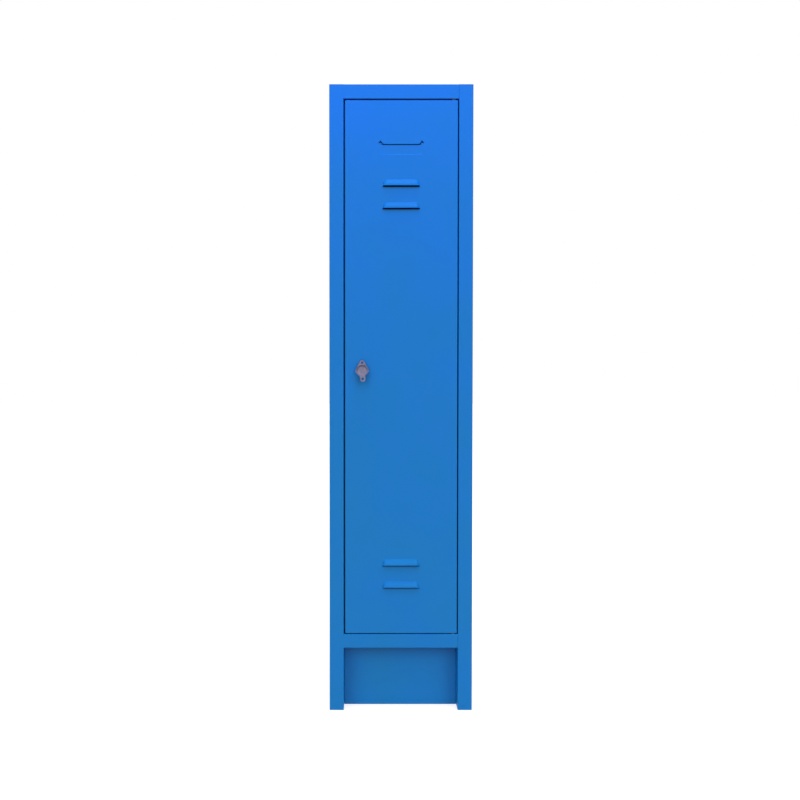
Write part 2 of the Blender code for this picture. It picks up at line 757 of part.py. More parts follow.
def door_panel():
    low = (DOOR_LEFT, FRONT, DOOR_BOTTOM)
    high = (DOOR_RIGHT, DOOR_BACK, DOOR_TOP)
    door = folded_tray("door_panel", low, high, (0, 1, 0), DOOR_LIP, DOOR_SHEET)
    for number, lip in enumerate(UPPER_LOUVRES + LOWER_LOUVRES, 1):
        press_louvre(door, number, lip)
    press_label_pocket(door)
    bush_hole = PIN_RADIUS + RUNNING_GAP + BUSH_WALL + SEAM
    hinge_hole(door, DOOR_BOTTOM, bush_hole)
    hinge_hole(door, DOOR_TOP, bush_hole)
    frame = forward_frame(LOCK_X, FRONT, LOCK_HEIGHT)
    cut_round(door, "lock hole", BARREL_RADIUS + SEAM, 2 * (DOOR_SHEET + CUT_MARGIN), frame)
    return door


def door_stiffener():
    """Hat channel inside the skin, between the upper and the lower louvres."""
    skin = FRONT + DOOR_SHEET + SEAM
    web = STIFFENER_WIDTH / 2
    foot = web + STIFFENER_FLANGE
    crown = skin + STIFFENER_DEPTH
    path = [(-foot, skin), (-web, skin), (-web, crown), (web, crown), (web, skin), (foot, skin)]
    start = LOWER_LOUVRES[0] + LOUVRE_HEIGHT + STIFFENER_MARGIN
    end = UPPER_LOUVRES[1] - STIFFENER_MARGIN
    return sheet_strip("door_stiffener", path, start, end, upright, SHEET, BLUE_PAINT, 1)


def lock_frame(forward=0.0):
    return forward_frame(LOCK_X, FRONT - forward, LOCK_HEIGHT)


def lock_base():
    """Cast base: pot on the door, rounded diamond plate with the fixed padlock eye, and barrel."""
    side = LOCK_HALF_WIDTH - LOCK_SIDE_RADIUS
    outline = rounded_hull(
        (-side, 0, LOCK_SIDE_RADIUS),
        (side, 0, LOCK_SIDE_RADIUS),
        (0, PADLOCK_EYE_REACH, LOCK_LUG_RADIUS),
        (0, LOCK_CHIN_RADIUS - LOCK_CHIN_REACH, LOCK_CHIN_RADIUS),
    )
    eye = circle(0, PADLOCK_EYE_REACH, PADLOCK_EYE_RADIUS)
    middle = SEAM + LOCK_STANDOFF + LOCK_PLATE / 2
    base = plate("lock_base", [outline, eye], LOCK_PLATE, lock_frame(middle), ZINC, EDGE_ROUND)
    pot_top = SEAM + LOCK_STANDOFF + LOCK_PLATE / 2
    barrel_end = CAM_FRONT - SEAM
    profile = [
        (0, pot_top),
        (LOCK_POT_RADIUS - LOCK_PLATE / 2, pot_top),
        (LOCK_POT_RADIUS, SEAM),
        (BARREL_RADIUS, SEAM),
        (BARREL_RADIUS, -barrel_end),
        (0, -barrel_end),
    ]
    combine(base, turned("lock pot and barrel", profile, lock_frame()), "UNION")
    bore_length = 2 * (max(KNOB_BACK, CAM_FRONT) + CUT_MARGIN)
    cut_round(base, "lock bore", SPINDLE_RADIUS + RUNNING_GAP, bore_length, lock_frame())
    return base


def lock_ring(name, outline, thickness, front):
    """A plate round the barrel, behind the skin."""
    hole = circle(0, 0, BARREL_RADIUS + SEAM)
    return plate(name, [outline, hole], thickness, lock_frame(-front - thickness / 2), PLATED_STEEL)


def lock_fixings():
    front = DOOR_SHEET + SEAM
    washer = lock_ring("lock_washer", circle(0, 0, WASHER_RADIUS), WASHER_THICKNESS, front)
    front += WASHER_THICKNESS + SEAM
    nut = lock_ring("lock_nut", circle(0, 0, NUT_RADIUS, 6), NUT_THICKNESS, front)
    return washer, nut


def turn_knob():
    """Round knob with a tail and padlock eye, on a spindle with a square end for the cam."""
    outline = rounded_hull((0, 0, TAIL_RADIUS), (0, -PADLOCK_EYE_REACH, TAIL_RADIUS))
    eye = circle(0, -PADLOCK_EYE_REACH, PADLOCK_EYE_RADIUS)
    middle = KNOB_BACK + KNOB_PLATE / 2
    knob = plate("turn_knob", [outline, eye], TAIL_THICKNESS, lock_frame(middle), ZINC, EDGE_ROUND)
    rim = KNOB_BACK + KNOB_PLATE
    profile = [
        (0, KNOB_FRONT),
        (KNOB_CROWN_RADIUS - 2 * EDGE_ROUND, KNOB_FRONT),
        (KNOB_CROWN_RADIUS, KNOB_FRONT - KNOB_CROWN / 2),
        (KNOB_CROWN_RADIUS, rim),
        (KNOB_RADIUS - EDGE_ROUND, rim),
        (KNOB_RADIUS, rim - EDGE_ROUND),
        (KNOB_RADIUS, KNOB_BACK),
        (SPINDLE_RADIUS, KNOB_BACK),
        (SPINDLE_RADIUS, SEAM - CAM_FRONT),
        (0, SEAM - CAM_FRONT),
    ]
    combine(knob, turned("knob crown and spindle", profile, lock_frame()), "UNION")
    length = CAM_THICKNESS + SPINDLE_SQUARE
    square = rectangle(SPINDLE_SQUARE, SPINDLE_SQUARE)
    end_middle = length / 2 - CAM_FRONT - CAM_THICKNESS
    combine(knob, plate("spindle square", [square], length, lock_frame(end_middle)), "UNION")
    bore = 2 * (SCREW_LENGTH + SEAM)
    frame = lock_frame(-CAM_FRONT - CAM_THICKNESS)
    cut_round(knob, "screw bore", SCREW_RADIUS + RUNNING_GAP, bore, frame)
    return knob


def lock_cam():
    tip = CAM_REACH - CAM_TIP_RADIUS
    outline = rounded_hull((0, 0, CAM_HUB_RADIUS), (tip, 0, CAM_TIP_RADIUS))
    hole_size = SPINDLE_SQUARE + 2 * SEAM
    hole = rectangle(hole_size, hole_size)
    frame = lock_frame(-CAM_FRONT - CAM_THICKNESS / 2)
    return plate("lock_cam", [outline, hole], CAM_THICKNESS, frame, PLATED_STEEL)


def cam_screw():
    face = -CAM_FRONT - CAM_THICKNESS - SEAM
    profile = [
        (0, face + SCREW_LENGTH),
        (SCREW_RADIUS, face + SCREW_LENGTH),
        (SCREW_RADIUS, face),
        (SCREW_HEAD_RADIUS, face),
        (SCREW_HEAD_RADIUS, face - SCREW_HEAD + EDGE_ROUND),
        (SCREW_HEAD_RADIUS - EDGE_ROUND, face - SCREW_HEAD),
        (0, face - SCREW_HEAD),
    ]
    return turned("cam_screw", profile, lock_frame(), PLATED_STEEL)


def build():
    side_panels()
    back_panel()
    top_panel()
    bottom_panel()
    kick_plate()
    foot_runners()
    hat_shelf()
    coat_rail()
    coat_hooks()
    door_stop()
    hinge_pins()

    door_axis = axis_empty("door axis", (HINGE_X, HINGE_Y, FLOOR_HEIGHT))
    carry(door_axis, door_panel(), door_stiffener(), *hinge_bushes())
    carry(door_axis, lock_base(), *lock_fixings())

    lock_axis = axis_empty("lock axis", (LOCK_X, FRONT, LOCK_HEIGHT))
    carry(lock_axis, turn_knob(), lock_cam(), cam_screw())
    lock_axis.rotation_euler.y = -KNOB_REST_TILT
    carry(door_axis, lock_axis)
    bpy.context.view_layer.update()


build()
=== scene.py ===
"""The looks of a single-door steel locker: its finishes, its finer pieces, the studio and the camera.

Metres, X to the right, Y from front to back, Z up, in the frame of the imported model.
"""

import json
import math
from collections import namedtuple

import bmesh
import bpy
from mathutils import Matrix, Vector


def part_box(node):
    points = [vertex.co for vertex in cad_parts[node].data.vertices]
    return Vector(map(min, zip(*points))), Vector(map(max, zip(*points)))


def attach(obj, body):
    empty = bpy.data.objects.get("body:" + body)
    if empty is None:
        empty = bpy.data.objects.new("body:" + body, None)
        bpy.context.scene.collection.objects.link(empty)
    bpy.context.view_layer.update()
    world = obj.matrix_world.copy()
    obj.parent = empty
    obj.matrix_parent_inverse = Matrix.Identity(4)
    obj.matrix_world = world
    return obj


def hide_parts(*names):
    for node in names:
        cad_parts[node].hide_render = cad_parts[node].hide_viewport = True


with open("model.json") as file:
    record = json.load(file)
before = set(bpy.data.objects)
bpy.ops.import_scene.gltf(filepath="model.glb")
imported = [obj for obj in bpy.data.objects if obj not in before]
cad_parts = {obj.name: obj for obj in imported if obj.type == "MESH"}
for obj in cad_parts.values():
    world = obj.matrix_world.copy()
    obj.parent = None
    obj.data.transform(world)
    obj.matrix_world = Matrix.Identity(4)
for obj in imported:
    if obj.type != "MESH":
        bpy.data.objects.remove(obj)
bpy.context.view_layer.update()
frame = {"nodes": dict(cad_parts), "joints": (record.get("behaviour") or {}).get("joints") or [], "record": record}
SLOT = {row["node"]: row["material_slot"] for row in frame["record"]["subparts"]}
BODY = {node: body for body, nodes in frame["record"]["behaviour"]["bodies"].items() for node in nodes}
PIVOT = {row["name"]: row["pos_m"] for row in frame["joints"] if row["type"] == "hinge"}
Place = namedtuple("Place", "x y z")


def to_micrometre(values):
    """A place or a size without the last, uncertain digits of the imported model."""
    return Place(*(round(value, 6) for value in values))


# The boxes of the CAD nodes
LOW, HIGH, SIZE, MIDDLE = {}, {}, {}, {}
for node in frame["nodes"]:
    low, high = (Vector(corner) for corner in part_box(node))
    LOW[node], HIGH[node] = to_micrometre(low), to_micrometre(high)
    SIZE[node], MIDDLE[node] = to_micrometre(high - low), to_micrometre((low + high) / 2)

MM = 0.001
SIDES = {"left": -1, "right": 1}

# Sheet metal
SHEET = 0.8 * MM
DOOR_SHEET = 1.0 * MM
ANGLE_SHEET = 1.2 * MM
SEAM = 0.3 * MM
PAINT = 0.04 * MM
BEND = 2.0 * MM
CORNER = 5 * MM
WELD_RADIUS = 3 * MM
WELD_DENT = 0.2 * MM
WELD_PITCH = 200 * MM
WELD_GROOVE = 1.0 * MM
WELD_ROUND = 0.15 * MM

# Carcass
OPENING_HALF, FRONT, _ = LOW["right_side_panel"]
HALF_WIDTH, BACK, HEIGHT = HIGH["right_side_panel"]
INNER_HALF, PANEL_BACK, _ = HIGH["top_panel"]
OPENING_TOP = LOW["top_panel"].z
TOP_RAIL = SIZE["top_panel"].z
FLOOR_HEIGHT = HIGH["bottom_panel"].z
BOTTOM_RAIL = SIZE["bottom_panel"].z
KICK_FRONT = LOW["kick_plate"].y
KICK_FLANGE = SIZE["kick_plate"].y
JAMB_DEPTH = 66 * MM
REAR_FLANGE = 20 * MM
RAIL_RETURN = 30 * MM
PANEL_FLANGE = 20 * MM

# Door
DOOR_LEFT, LOUVRE_FRONT, DOOR_BOTTOM = LOW["door_panel"]
DOOR_RIGHT, DOOR_BACK, DOOR_TOP = HIGH["door_panel"]
DOOR_THICKNESS = DOOR_BACK - FRONT
DOOR_LIP = 12 * MM
LOUVRE_LIPS = [DOOR_TOP - drop * MM for drop in (243, 307)] + [DOOR_BOTTOM + rise * MM for rise in (198, 134)]
LOUVRE_HALF = 53 * MM
LOUVRE_HEIGHT = 18 * MM
LOUVRE_PROUD = FRONT - LOUVRE_FRONT
LOUVRE_SLOT = 3.5 * MM
LOUVRE_END_SLOPE = 2 * MM
LOUVRE_TOP_TAPER = 6 * MM
LOUVRE_SHOULDER = 7 * MM
# Steps of a hood, as shares of how far it stands out and of its height
LOUVRE_PROFILE = [(0.06, 0.97), (0.75, 0.46), (0.91, 0.32), (0.98, 0.23), (1.0, 0.16)]
LABEL_TOP = DOOR_TOP - 125 * MM
LABEL_HALF = 63 * MM
LABEL_HEIGHT = 30 * MM
LABEL_DEPTH = 1.2 * MM
LABEL_RAMP = 2.5 * MM
LABEL_ROUND = 0.7 * MM
SLIT_WIDTH = 1.8 * MM
EAR_WIDTH = 3.2 * MM
SLIT_HALF = 52.5 * MM
SLIT_EAR = (7 * MM, 9 * MM)
SLIT_TAIL = (4 * MM, -5 * MM)
STIFFENER_BOTTOM = LOW["door_stiffener"].z
STIFFENER_FOOT, STIFFENER_CROWN, STIFFENER_TOP = HIGH["door_stiffener"]
STIFFENER_DEPTH = SIZE["door_stiffener"].y - SHEET
STIFFENER_HALF = 25.8 * MM
STIFFENER_WELDS = 5
FIRST_WELD = 80 * MM

# Pivot hinge
HINGE_X, HINGE_Y, _ = PIVOT["door_hinge"]
PIN_RADIUS = 3 * MM
PIN_HOLE = PIN_RADIUS + SEAM
PIN_REACH = HIGH["lower_hinge_pin"].z - DOOR_BOTTOM
PIN_NOSE = 0.8 * MM
PIN_COLLAR_RADIUS = SIZE["lower_hinge_pin"].x / 2
PIN_COLLAR = FLOOR_HEIGHT - SHEET - SEAM - LOW["lower_hinge_pin"].z
BUSH_RADIUS = 5 * MM
BUSH_HOLE = BUSH_RADIUS + SEAM
BUSH_FLANGE = SIZE["lower_hinge_bush"].x / 2
BUSH_LENGTH = HIGH["lower_hinge_bush"].z - DOOR_BOTTOM
BUSH_NOSE = 0.5 * MM
COLLAR_ROUND = 0.4 * MM

# Door stop and buffers
STOP_X, STOP_FRONT, STOP_BOTTOM = LOW["door_stop"]
STOP_LIP, STOP_LEG, _ = SIZE["door_stop"]
STOP_TOP = HIGH["door_stop"].z
BUFFER_X, _, UPPER_BUFFER = MIDDLE["upper_buffer"]
LOWER_BUFFER = MIDDLE["lower_buffer"].z
BUFFER_RADIUS = SIZE["upper_buffer"].x / 2
BUFFER_LENGTH = SIZE["upper_buffer"].y


def ahead(place):
    """How far a place is in front of the skin of the door."""
    return FRONT - place.y


# Lock
LOCK_X, _, LOCK_Z = PIVOT["lock_turn"]
LOCK_TILT = math.radians(5)
LOCK_DRILL = 20 * MM
PLATE_FRONT = ahead(LOW["lock_base"])
PLATE_BACK = PLATE_FRONT - 5 * MM
PLATE_SIDE = (14 * MM, 6 * MM)
PLATE_ROUND = 1.0 * MM
LUG_RADIUS = 7.5 * MM
CHIN = (12 * MM, 8 * MM)
EYE_REACH = 23.5 * MM
EYE_RADIUS = 3.2 * MM
POT_RADIUS = 17 * MM
BARREL_RADIUS = 9.2 * MM
BARREL_HOLE = BARREL_RADIUS + SEAM
BARREL_END = ahead(HIGH["lock_base"])
THREAD_DEPTH = 0.7 * MM
THREAD_PITCH = 1.5 * MM
KNOB_BACK = PLATE_FRONT + 0.4 * MM
KNOB_RIM = KNOB_BACK + 5 * MM
KNOB_FRONT = ahead(LOW["turn_knob"])
KNOB_RADIUS = 16 * MM
CROWN_RADIUS = 14 * MM
TAIL_RADIUS = 8 * MM
TAIL_BACK = KNOB_BACK + 0.5 * MM
TAIL_FRONT = TAIL_BACK + 4 * MM
TAIL_ROUND = 0.8 * MM
SPINDLE_RADIUS = 4.5 * MM
SPINDLE_HOLE = SPINDLE_RADIUS + SEAM
SPINDLE_SQUARE = 5.94 * MM
SPINDLE_END = ahead(HIGH["turn_knob"])
SPINDLE_ROUND = 0.4 * MM
WASHER = (SIZE["lock_washer"].x / 2, ahead(LOW["lock_washer"]), ahead(HIGH["lock_washer"]))
WASHER_ROUND = 0.25 * MM
NUT = (SIZE["lock_nut"].x / 2, ahead(LOW["lock_nut"]), ahead(HIGH["lock_nut"]))
NUT_CHAMFER = 1 * MM
CAM_FRONT = ahead(LOW["lock_cam"])
CAM_BACK = ahead(HIGH["lock_cam"])
CAM_HUB = 9 * MM
CAM_TIP = (43 * MM, 6 * MM)
CAM_HOLE = SPINDLE_SQUARE + 2 * SEAM
CAM_ROUND = 0.4 * MM
SCREW_HEAD = (5 * MM, CAM_BACK - SEAM, ahead(HIGH["cam_screw"]))
SCREW_SHANK = (2 * MM, ahead(LOW["cam_screw"]))
SCREW_HOLE_DEPTH = 10 * MM
SCREW_CROSS = (6 * MM, 1.2 * MM, 1.2 * MM)

# Shelf, coat rail and hooks
SHELF_HALF, SHELF_BACK, SHELF_TOP = HIGH["hat_shelf"]
SHELF_FRONT = LOW["hat_shelf"].y
SHELF_FLANGE = SIZE["hat_shelf"].z
SHELF_LIP = 8 * MM
BRACKET_SPAN = (LOW["left_shelf_bracket"].y, HIGH["left_shelf_bracket"].y)
BRACKET_TOP = HIGH["left_shelf_bracket"].z
FOOT_SPAN = (LOW["left_foot_runner"].y, HIGH["left_foot_runner"].y)
ANGLE_TREAD, _, ANGLE_LEG = SIZE["left_foot_runner"]
_, RAIL_Y, RAIL_Z = MIDDLE["coat_rail"]
RAIL_HALF = HIGH["coat_rail"].x
RAIL_RADIUS = SIZE["coat_rail"].y / 2
RAIL_STRAIGHT = SIZE["coat_rail"].z / 2 - RAIL_RADIUS
RAIL_WALL = 1.2 * MM
SOCKET_FLANGE = (SIZE["left_rail_socket"].y / 2, 2 * MM)
SOCKET_FLANGE_ROUND = 0.8 * MM
SOCKET_CUP = (10.8 * MM, SIZE["left_rail_socket"].x)
SOCKET_CUP_ROUND = 1.0 * MM
SOCKET_MOUTH = RAIL_RADIUS + SEAM
HOOK_X = MIDDLE["right_coat_hook"].x
HOOK_WIDTH = SIZE["right_coat_hook"].x
HOOK_BAND = HIGH["right_coat_hook"].y - RAIL_Y
HOOK_BORE = RAIL_RADIUS + 0.4 * MM
HOOK_ROUND = 0.8 * MM
HOOK_ROD = 3.5 * MM
HOOK_BEND = 12 * MM
HOOK_BEND_Z = LOW["right_coat_hook"].z + HOOK_BEND + HOOK_ROD
HOOK_TIP = 8 * MM
# Steps of the hook's round tip, as a rise and a share of the width before it
HOOK_TIP_STEPS = [(HOOK_TIP - 2 * MM, 1.0), (1.2 * MM, 0.9), (0.6 * MM, 0.75), (0.2 * MM, 0.6)]
RIVET_RADIUS = 3.6 * MM
RIVET_HEIGHT = 1.4 * MM
RIVET_INSET = 25 * MM
RIVET_DROP = 15 * MM
SMALL_RIVET = 0.55
SOCKET_RIVET = 21.3 * MM

# Studio: colours carry the strengths, which are relative to white at 1
WHITE = (1.0, 1.0, 1.0, 1.0)
CEILING_TINT = (0.10, 0.10, 0.10, 1.0)
WINDOW_COLOUR = (1.0, 0.92, 0.92, 1.0)
WINDOW_RISE = (-0.15, 0.25)
WINDOW_FALL = (0.60, 0.35)
WINDOW_SIDES = (-0.3, -0.9)
BACK_SIDES = (0.1, 0.5)
FLOOR_SIZE = 60.0
FLOOR_COLOUR = (0.35, 0.35, 0.35, 1.0)
FLOOR_LIFT = 0.75
SUN_PLACE = (0.0, -3.0, 3.0)
KEY_RISE = math.radians(32)
KEY_SIDE = math.radians(38)
KEY_SPREAD = math.radians(40)
KEY_POWER = 0.96
CEILING_RISE = math.radians(80)
CEILING_SPREAD = math.radians(40)
CEILING_POWER = 1.6
BOX_PLACE = (0.0, -1.0, 2.3)
BOX_AIM = (0.0, -0.24, 1.75)
BOX_SIZE = (1.2, 0.5)
BOX_POWER = 10
BOX_COLOUR = (0.25, 0.14, 1.0)

# Camera
CAMERA_PLACE = (-0.110, -3.039, 0.970)
CAMERA_TURN = (math.radians(90 - 1.453), 0.0, 0.0)
LENS = 43.83
SENSOR_WIDTH = 36.0
CAMERA_SHIFT = 0.0465

# Fineness of the curved shapes, and tolerances
ROUND_SIDES = 48
BEND_STEPS = 4
EDGE_STEPS = 3
ARC_STEPS = 20
FOLD_ANGLE = math.radians(15)
RIM_ANGLE = math.radians(60)
SMOOTH_ANGLE = math.radians(35)
FLAT_ANGLE = math.radians(0.5)
TOUCH = 0.02 * MM
SPECK = 0.001 * MM
CUT = 2 * MM
SQUARE_ON = 0.99
# Where most values of a noise pattern lie
NOISE_SPREAD = (0.3, 0.7)


def linear(hex_colour):
    """The linear RGBA of an sRGB hex colour."""
    channels = [int(hex_colour[i : i + 2], 16) / 255 for i in (1, 3, 5)]
    return [c / 12.92 if c <= 0.04045 else ((c + 0.055) / 1.055) ** 2.4 for c in channels] + [1.0]


def add_node(tree, kind, inputs=None, **settings):
    """Adds a node; each input takes a value, or a link from the output that it is given."""
    node = tree.nodes.new(kind)
    for name, value in settings.items():
        setattr(node, name, value)
    for socket, value in (inputs or {}).items():
        if isinstance(value, bpy.types.NodeSocket):
            tree.links.new(value, node.inputs[socket])
        else:
            node.inputs[socket].default_value = value
    return node


def new_material(name, metallic):
    """A new material, with its tree, its shader and the object's coordinates."""
    material = bpy.data.materials.new(name)
    material.use_nodes = True
    tree = material.node_tree
    shader = tree.nodes["Principled BSDF"]
    shader.inputs["Metallic"].default_value = metallic
    place = add_node(tree, "ShaderNodeTexCoord").outputs["Object"]
    return material, tree, shader, place


def blended(tree, share, first, second):
    """A colour between two others."""
    blend = {"Factor": share, "A": first, "B": second}
    return add_node(tree, "ShaderNodeMix", blend, data_type="RGBA").outputs[2]


def noise(tree, place, size, detail):
    """A noise pattern with patches of about a size."""
    inputs = {"Vector": place, "Scale": 1 / size, "Detail": detail}
    return add_node(tree, "ShaderNodeTexNoise", inputs).outputs["Fac"]


def bumps(tree, height, distance, under=None):
    """The normal of a surface that rises with a pattern, on top of another bumped normal if there is one."""
    inputs = {"Height": height, "Distance": distance}
    if under is not None:
        inputs["Normal"] = under
    return add_node(tree, "ShaderNodeBump", inputs).outputs["Normal"]


def finish(tree, shader, pattern, colours, gloss, normal):
    """Sets a surface: two colours and two roughnesses that follow a pattern, and a bumped normal."""
    spread = {"Value": pattern, "From Min": NOISE_SPREAD[0], "From Max": NOISE_SPREAD[1]}
    share = add_node(tree, "ShaderNodeMapRange", spread).outputs["Result"]
    tint = blended(tree, share, *map(linear, colours))
    rough = add_node(tree, "ShaderNodeMapRange", {**spread, "To Min": gloss[0], "To Max": gloss[1]})
    tree.links.new(tint, shader.inputs["Base Color"])
    tree.links.new(rough.outputs["Result"], shader.inputs["Roughness"])
    tree.links.new(normal, shader.inputs["Normal"])


def powder_coated_steel():
    """Satin polyester powder baked on thin steel sheet: an even blue with soft, broad reflections,
    a film that drifts a little in thickness, orange peel, and the slow waves of the sheet under it."""
    material, tree, shader, place = new_material("blue powder coat", 0.0)
    film = noise(tree, place, 180 * MM, 2.0)
    waves = bumps(tree, noise(tree, place, 260 * MM, 0.0), 0.4 * MM)
    # The real orange peel is about 2 mm across, too fine to show from here, so it is drawn at 5 mm.
    peel = bumps(tree, noise(tree, place, 5 * MM, 1.0), 0.05 * MM, waves)
    finish(tree, shader, film, ("#0677B7", "#0A76C0"), (0.38, 0.46), peel)
    shader.inputs["Specular IOR Level"].default_value = 0.3
    return material


def die_cast_zinc():
    """Zinc alloy cast in a die and tumbled: a dull violet-grey metal with a cloudy sheen and fine pits."""
    material, tree, shader, place = new_material("die-cast zinc", 1.0)
    cloud = noise(tree, place, 9 * MM, 3.0)
    # The real pits are about 0.2 mm across, too fine to show from here, so they are drawn at 0.9 mm.
    pits = bumps(tree, noise(tree, place, 0.9 * MM, 2.0), 0.03 * MM)
    finish(tree, shader, cloud, ("#7F7D99", "#9391AB"), (0.46, 0.32), pits)
    return material


def zinc_plated_steel():
    """Pressed steel under bright zinc plate: cool silver with faint bluish and straw-coloured clouds."""
    material, tree, shader, place = new_material("zinc-plated steel", 1.0)
    cloud = noise(tree, place, 6 * MM, 3.0)
    # The plate's grain is finer than 0.1 mm; it is drawn at 0.6 mm so that it shows.
    grain = bumps(tree, noise(tree, place, 0.6 * MM, 1.0), 0.01 * MM)
    finish(tree, shader, cloud, ("#A7B0BA", "#C3C3B8"), (0.26, 0.40), grain)
    return material


def chromed_steel():
    """Drawn steel tube under polished chrome: nearly a mirror, with faint draw lines along the tube."""
    material, tree, shader, place = new_material("chromed steel", 1.0)
    haze = noise(tree, place, 40 * MM, 2.0)
    # Draw lines are some 0.1 mm apart; they are drawn 1 mm apart so that they show.
    along = {"Vector": place, "Scale": (1 / (150 * MM), 1 / (1 * MM), 1 / (1 * MM))}
    drawn = add_node(tree, "ShaderNodeMapping", along).outputs["Vector"]
    lines = bumps(tree, noise(tree, drawn, 1.0, 1.0), 0.008 * MM)
    finish(tree, shader, haze, ("#C6CACD", "#D6D8D9"), (0.07, 0.14), lines)
    return material


def moulded_nylon():
    """Injection-moulded nylon: dark grey, waxy and matt, with the fine grain of a spark-eroded mould."""
    material, tree, shader, place = new_material("moulded grey nylon", 0.0)
    flow = noise(tree, place, 14 * MM, 2.0)
    # Mould grain of about 0.15 mm is too fine to show, so it is drawn at 0.7 mm.
    grain = bumps(tree, noise(tree, place, 0.7 * MM, 1.0), 0.03 * MM)
    finish(tree, shader, flow, ("#33373B", "#3E4247"), (0.48, 0.60), grain)
    shader.inputs["IOR"].default_value = 1.53
    return material


def moulded_rubber():
    """Moulded black rubber: nearly no shine, with a greyish bloom in patches and a fine mould grain."""
    material, tree, shader, place = new_material("moulded black rubber", 0.0)
    bloom = noise(tree, place, 3 * MM, 2.0)
    grain = bumps(tree, noise(tree, place, 0.5 * MM, 1.0), 0.03 * MM)
    finish(tree, shader, bloom, ("#18191B", "#26272A"), (0.72, 0.88), grain)
    shader.inputs["IOR"].default_value = 1.52
    return material


FINISHES = {
    "blue_powder_coat": powder_coated_steel(),
    "die_cast_zinc": die_cast_zinc(),
    "zinc_plated_steel": zinc_plated_steel(),
    "chromed_steel": chromed_steel(),
    "grey_nylon": moulded_nylon(),
    "black_rubber": moulded_rubber(),
}

for node, slot in SLOT.items():
    finishes = frame["nodes"][node].data.materials
    finishes.clear()
    finishes.append(FINISHES[slot])


def hold(piece, mode="OBJECT"):
    """Makes a piece the only selected one, and opens or closes it for editing."""
    if bpy.context.mode != "OBJECT":
        bpy.ops.object.mode_set(mode="OBJECT")
    bpy.ops.object.select_all(action="DESELECT")
    piece.select_set(True)
    bpy.context.view_layer.objects.active = piece
    bpy.ops.object.mode_set(mode=mode)


def begin(kind, name, stretch=(1.0, 1.0, 1.0), **settings):
    """Adds a primitive as a new piece, at its size and place, and opens it for editing."""
    if bpy.context.mode != "OBJECT":
        bpy.ops.object.mode_set(mode="OBJECT")
    bpy.ops.object.select_all(action="DESELECT")
    getattr(bpy.ops.mesh, f"primitive_{kind}_add")(**settings)
    piece = bpy.context.object
    piece.name = piece.data.name = name
    piece.scale = stretch
    bpy.ops.object.transform_apply(location=True, rotation=True, scale=True)
    bpy.ops.object.mode_set(mode="EDIT")
    return piece


def turn_to(axis):
    """The turn that points a primitive's Z along an axis."""
    return Vector(axis).to_track_quat("Z", "Y")


def flat_sheet(name, low, high, facing):
    """Starts a piece as a flat sheet between two corners, looking along a direction."""
    low, high = Vector(low), Vector(high)
    turn = turn_to(facing)
    span = turn.inverted() @ (high - low)
    stretch = [max(abs(length), TOUCH) for length in span]
    return begin("plane", name, stretch, size=1.0, location=(low + high) / 2, rotation=turn.to_euler())


def block(name, low, high):
    """Starts a piece as a block between two corners."""
    low, high = Vector(low), Vector(high)
    return begin("cube", name, high - low, size=1.0, location=(low + high) / 2)


def middle(part):
    """The middle of a vertex, an edge or a face."""
    if isinstance(part, bmesh.types.BMVert):
        return part.co
    return sum((vert.co for vert in part.verts), Vector()) / len(part.verts)


def lies(part, axis, *places):
    """Whether all of a vertex, edge or face lies at one of the places along an axis (0, 1 or 2)."""
    verts = [part] if isinstance(part, bmesh.types.BMVert) else part.verts
    return any(all(abs(vert.co[axis] - place) < TOUCH for vert in verts) for place in places)


def at(axis, *places):
    """The test for what lies at one of the places along an axis."""
    return lambda part: lies(part, axis, *places)


def everywhere(part):
    """Passes every vertex, edge or face."""
    return True


def pick(kind, test=everywhere):
    """Selects the vertices, edges or faces of the open piece that pass a test, and nothing else."""
    bpy.ops.mesh.select_mode(type=kind)
    bpy.ops.mesh.select_all(action="DESELECT")
    shape = bmesh.from_edit_mesh(bpy.context.object.data)
    shape.normal_update()
    parts = {"VERT": shape.verts, "EDGE": shape.edges, "FACE": shape.faces}[kind]
    for part in [part for part in parts if test(part)]:
        part.select_set(True)
    shape.select_flush_mode()
    bmesh.update_edit_mesh(bpy.context.object.data)


def face_outwards():
    """Turns the faces of the open piece outwards."""
    pick("FACE")
    bpy.ops.mesh.normals_make_consistent(inside=False)


def fold(test, move):
    """Draws the free edges that pass a test out into a flange."""
    pick("EDGE", lambda edge: edge.is_boundary and test(edge))
    bpy.ops.mesh.extrude_edges_move(TRANSFORM_OT_translate={"value": move})


def turn_in(axis, place, lip):
    """Turns the free edge at a place along an axis inwards, as a lip all round."""
    pick("EDGE", lambda edge: edge.is_boundary and lies(edge, axis, place))
    shape = bmesh.from_edit_mesh(bpy.context.object.data)
    corners = [vert.co.copy() for vert in shape.verts if vert.select]
    low, high = (Vector(map(limit, zip(*corners))) for limit in (min, max))
    bpy.ops.mesh.extrude_edges_move()
    shrink = [1 - 2 * lip / span if span > 2 * lip else 1.0 for span in high - low]
    bpy.ops.transform.resize(value=shrink, center_override=(low + high) / 2)


def score(axis, places, test=everywhere):
    """Cuts the faces that pass a test across an axis at each place."""
    for place in places:
        pick("FACE", test)
        point, normal = Vector(), Vector()
        point[axis], normal[axis] = place, 1.0
        bpy.ops.mesh.bisect(plane_co=point, plane_no=normal)


def round_edges(radius, test=everywhere, steps=BEND_STEPS, angle=FOLD_ANGLE):
    """Rounds the edges that pass a test, where the faces beside them meet at more than an angle."""
    pick("EDGE", lambda edge: len(edge.link_faces) == 2 and edge.calc_face_angle() > angle and test(edge))
    bpy.ops.mesh.bevel(offset=radius, segments=steps, affect="EDGES")


def round_rims(piece, radius, test=everywhere):
    """Breaks the sharp rims of a solid piece."""
    hold(piece, "EDIT")
    round_edges(radius, test, EDGE_STEPS, RIM_ANGLE)


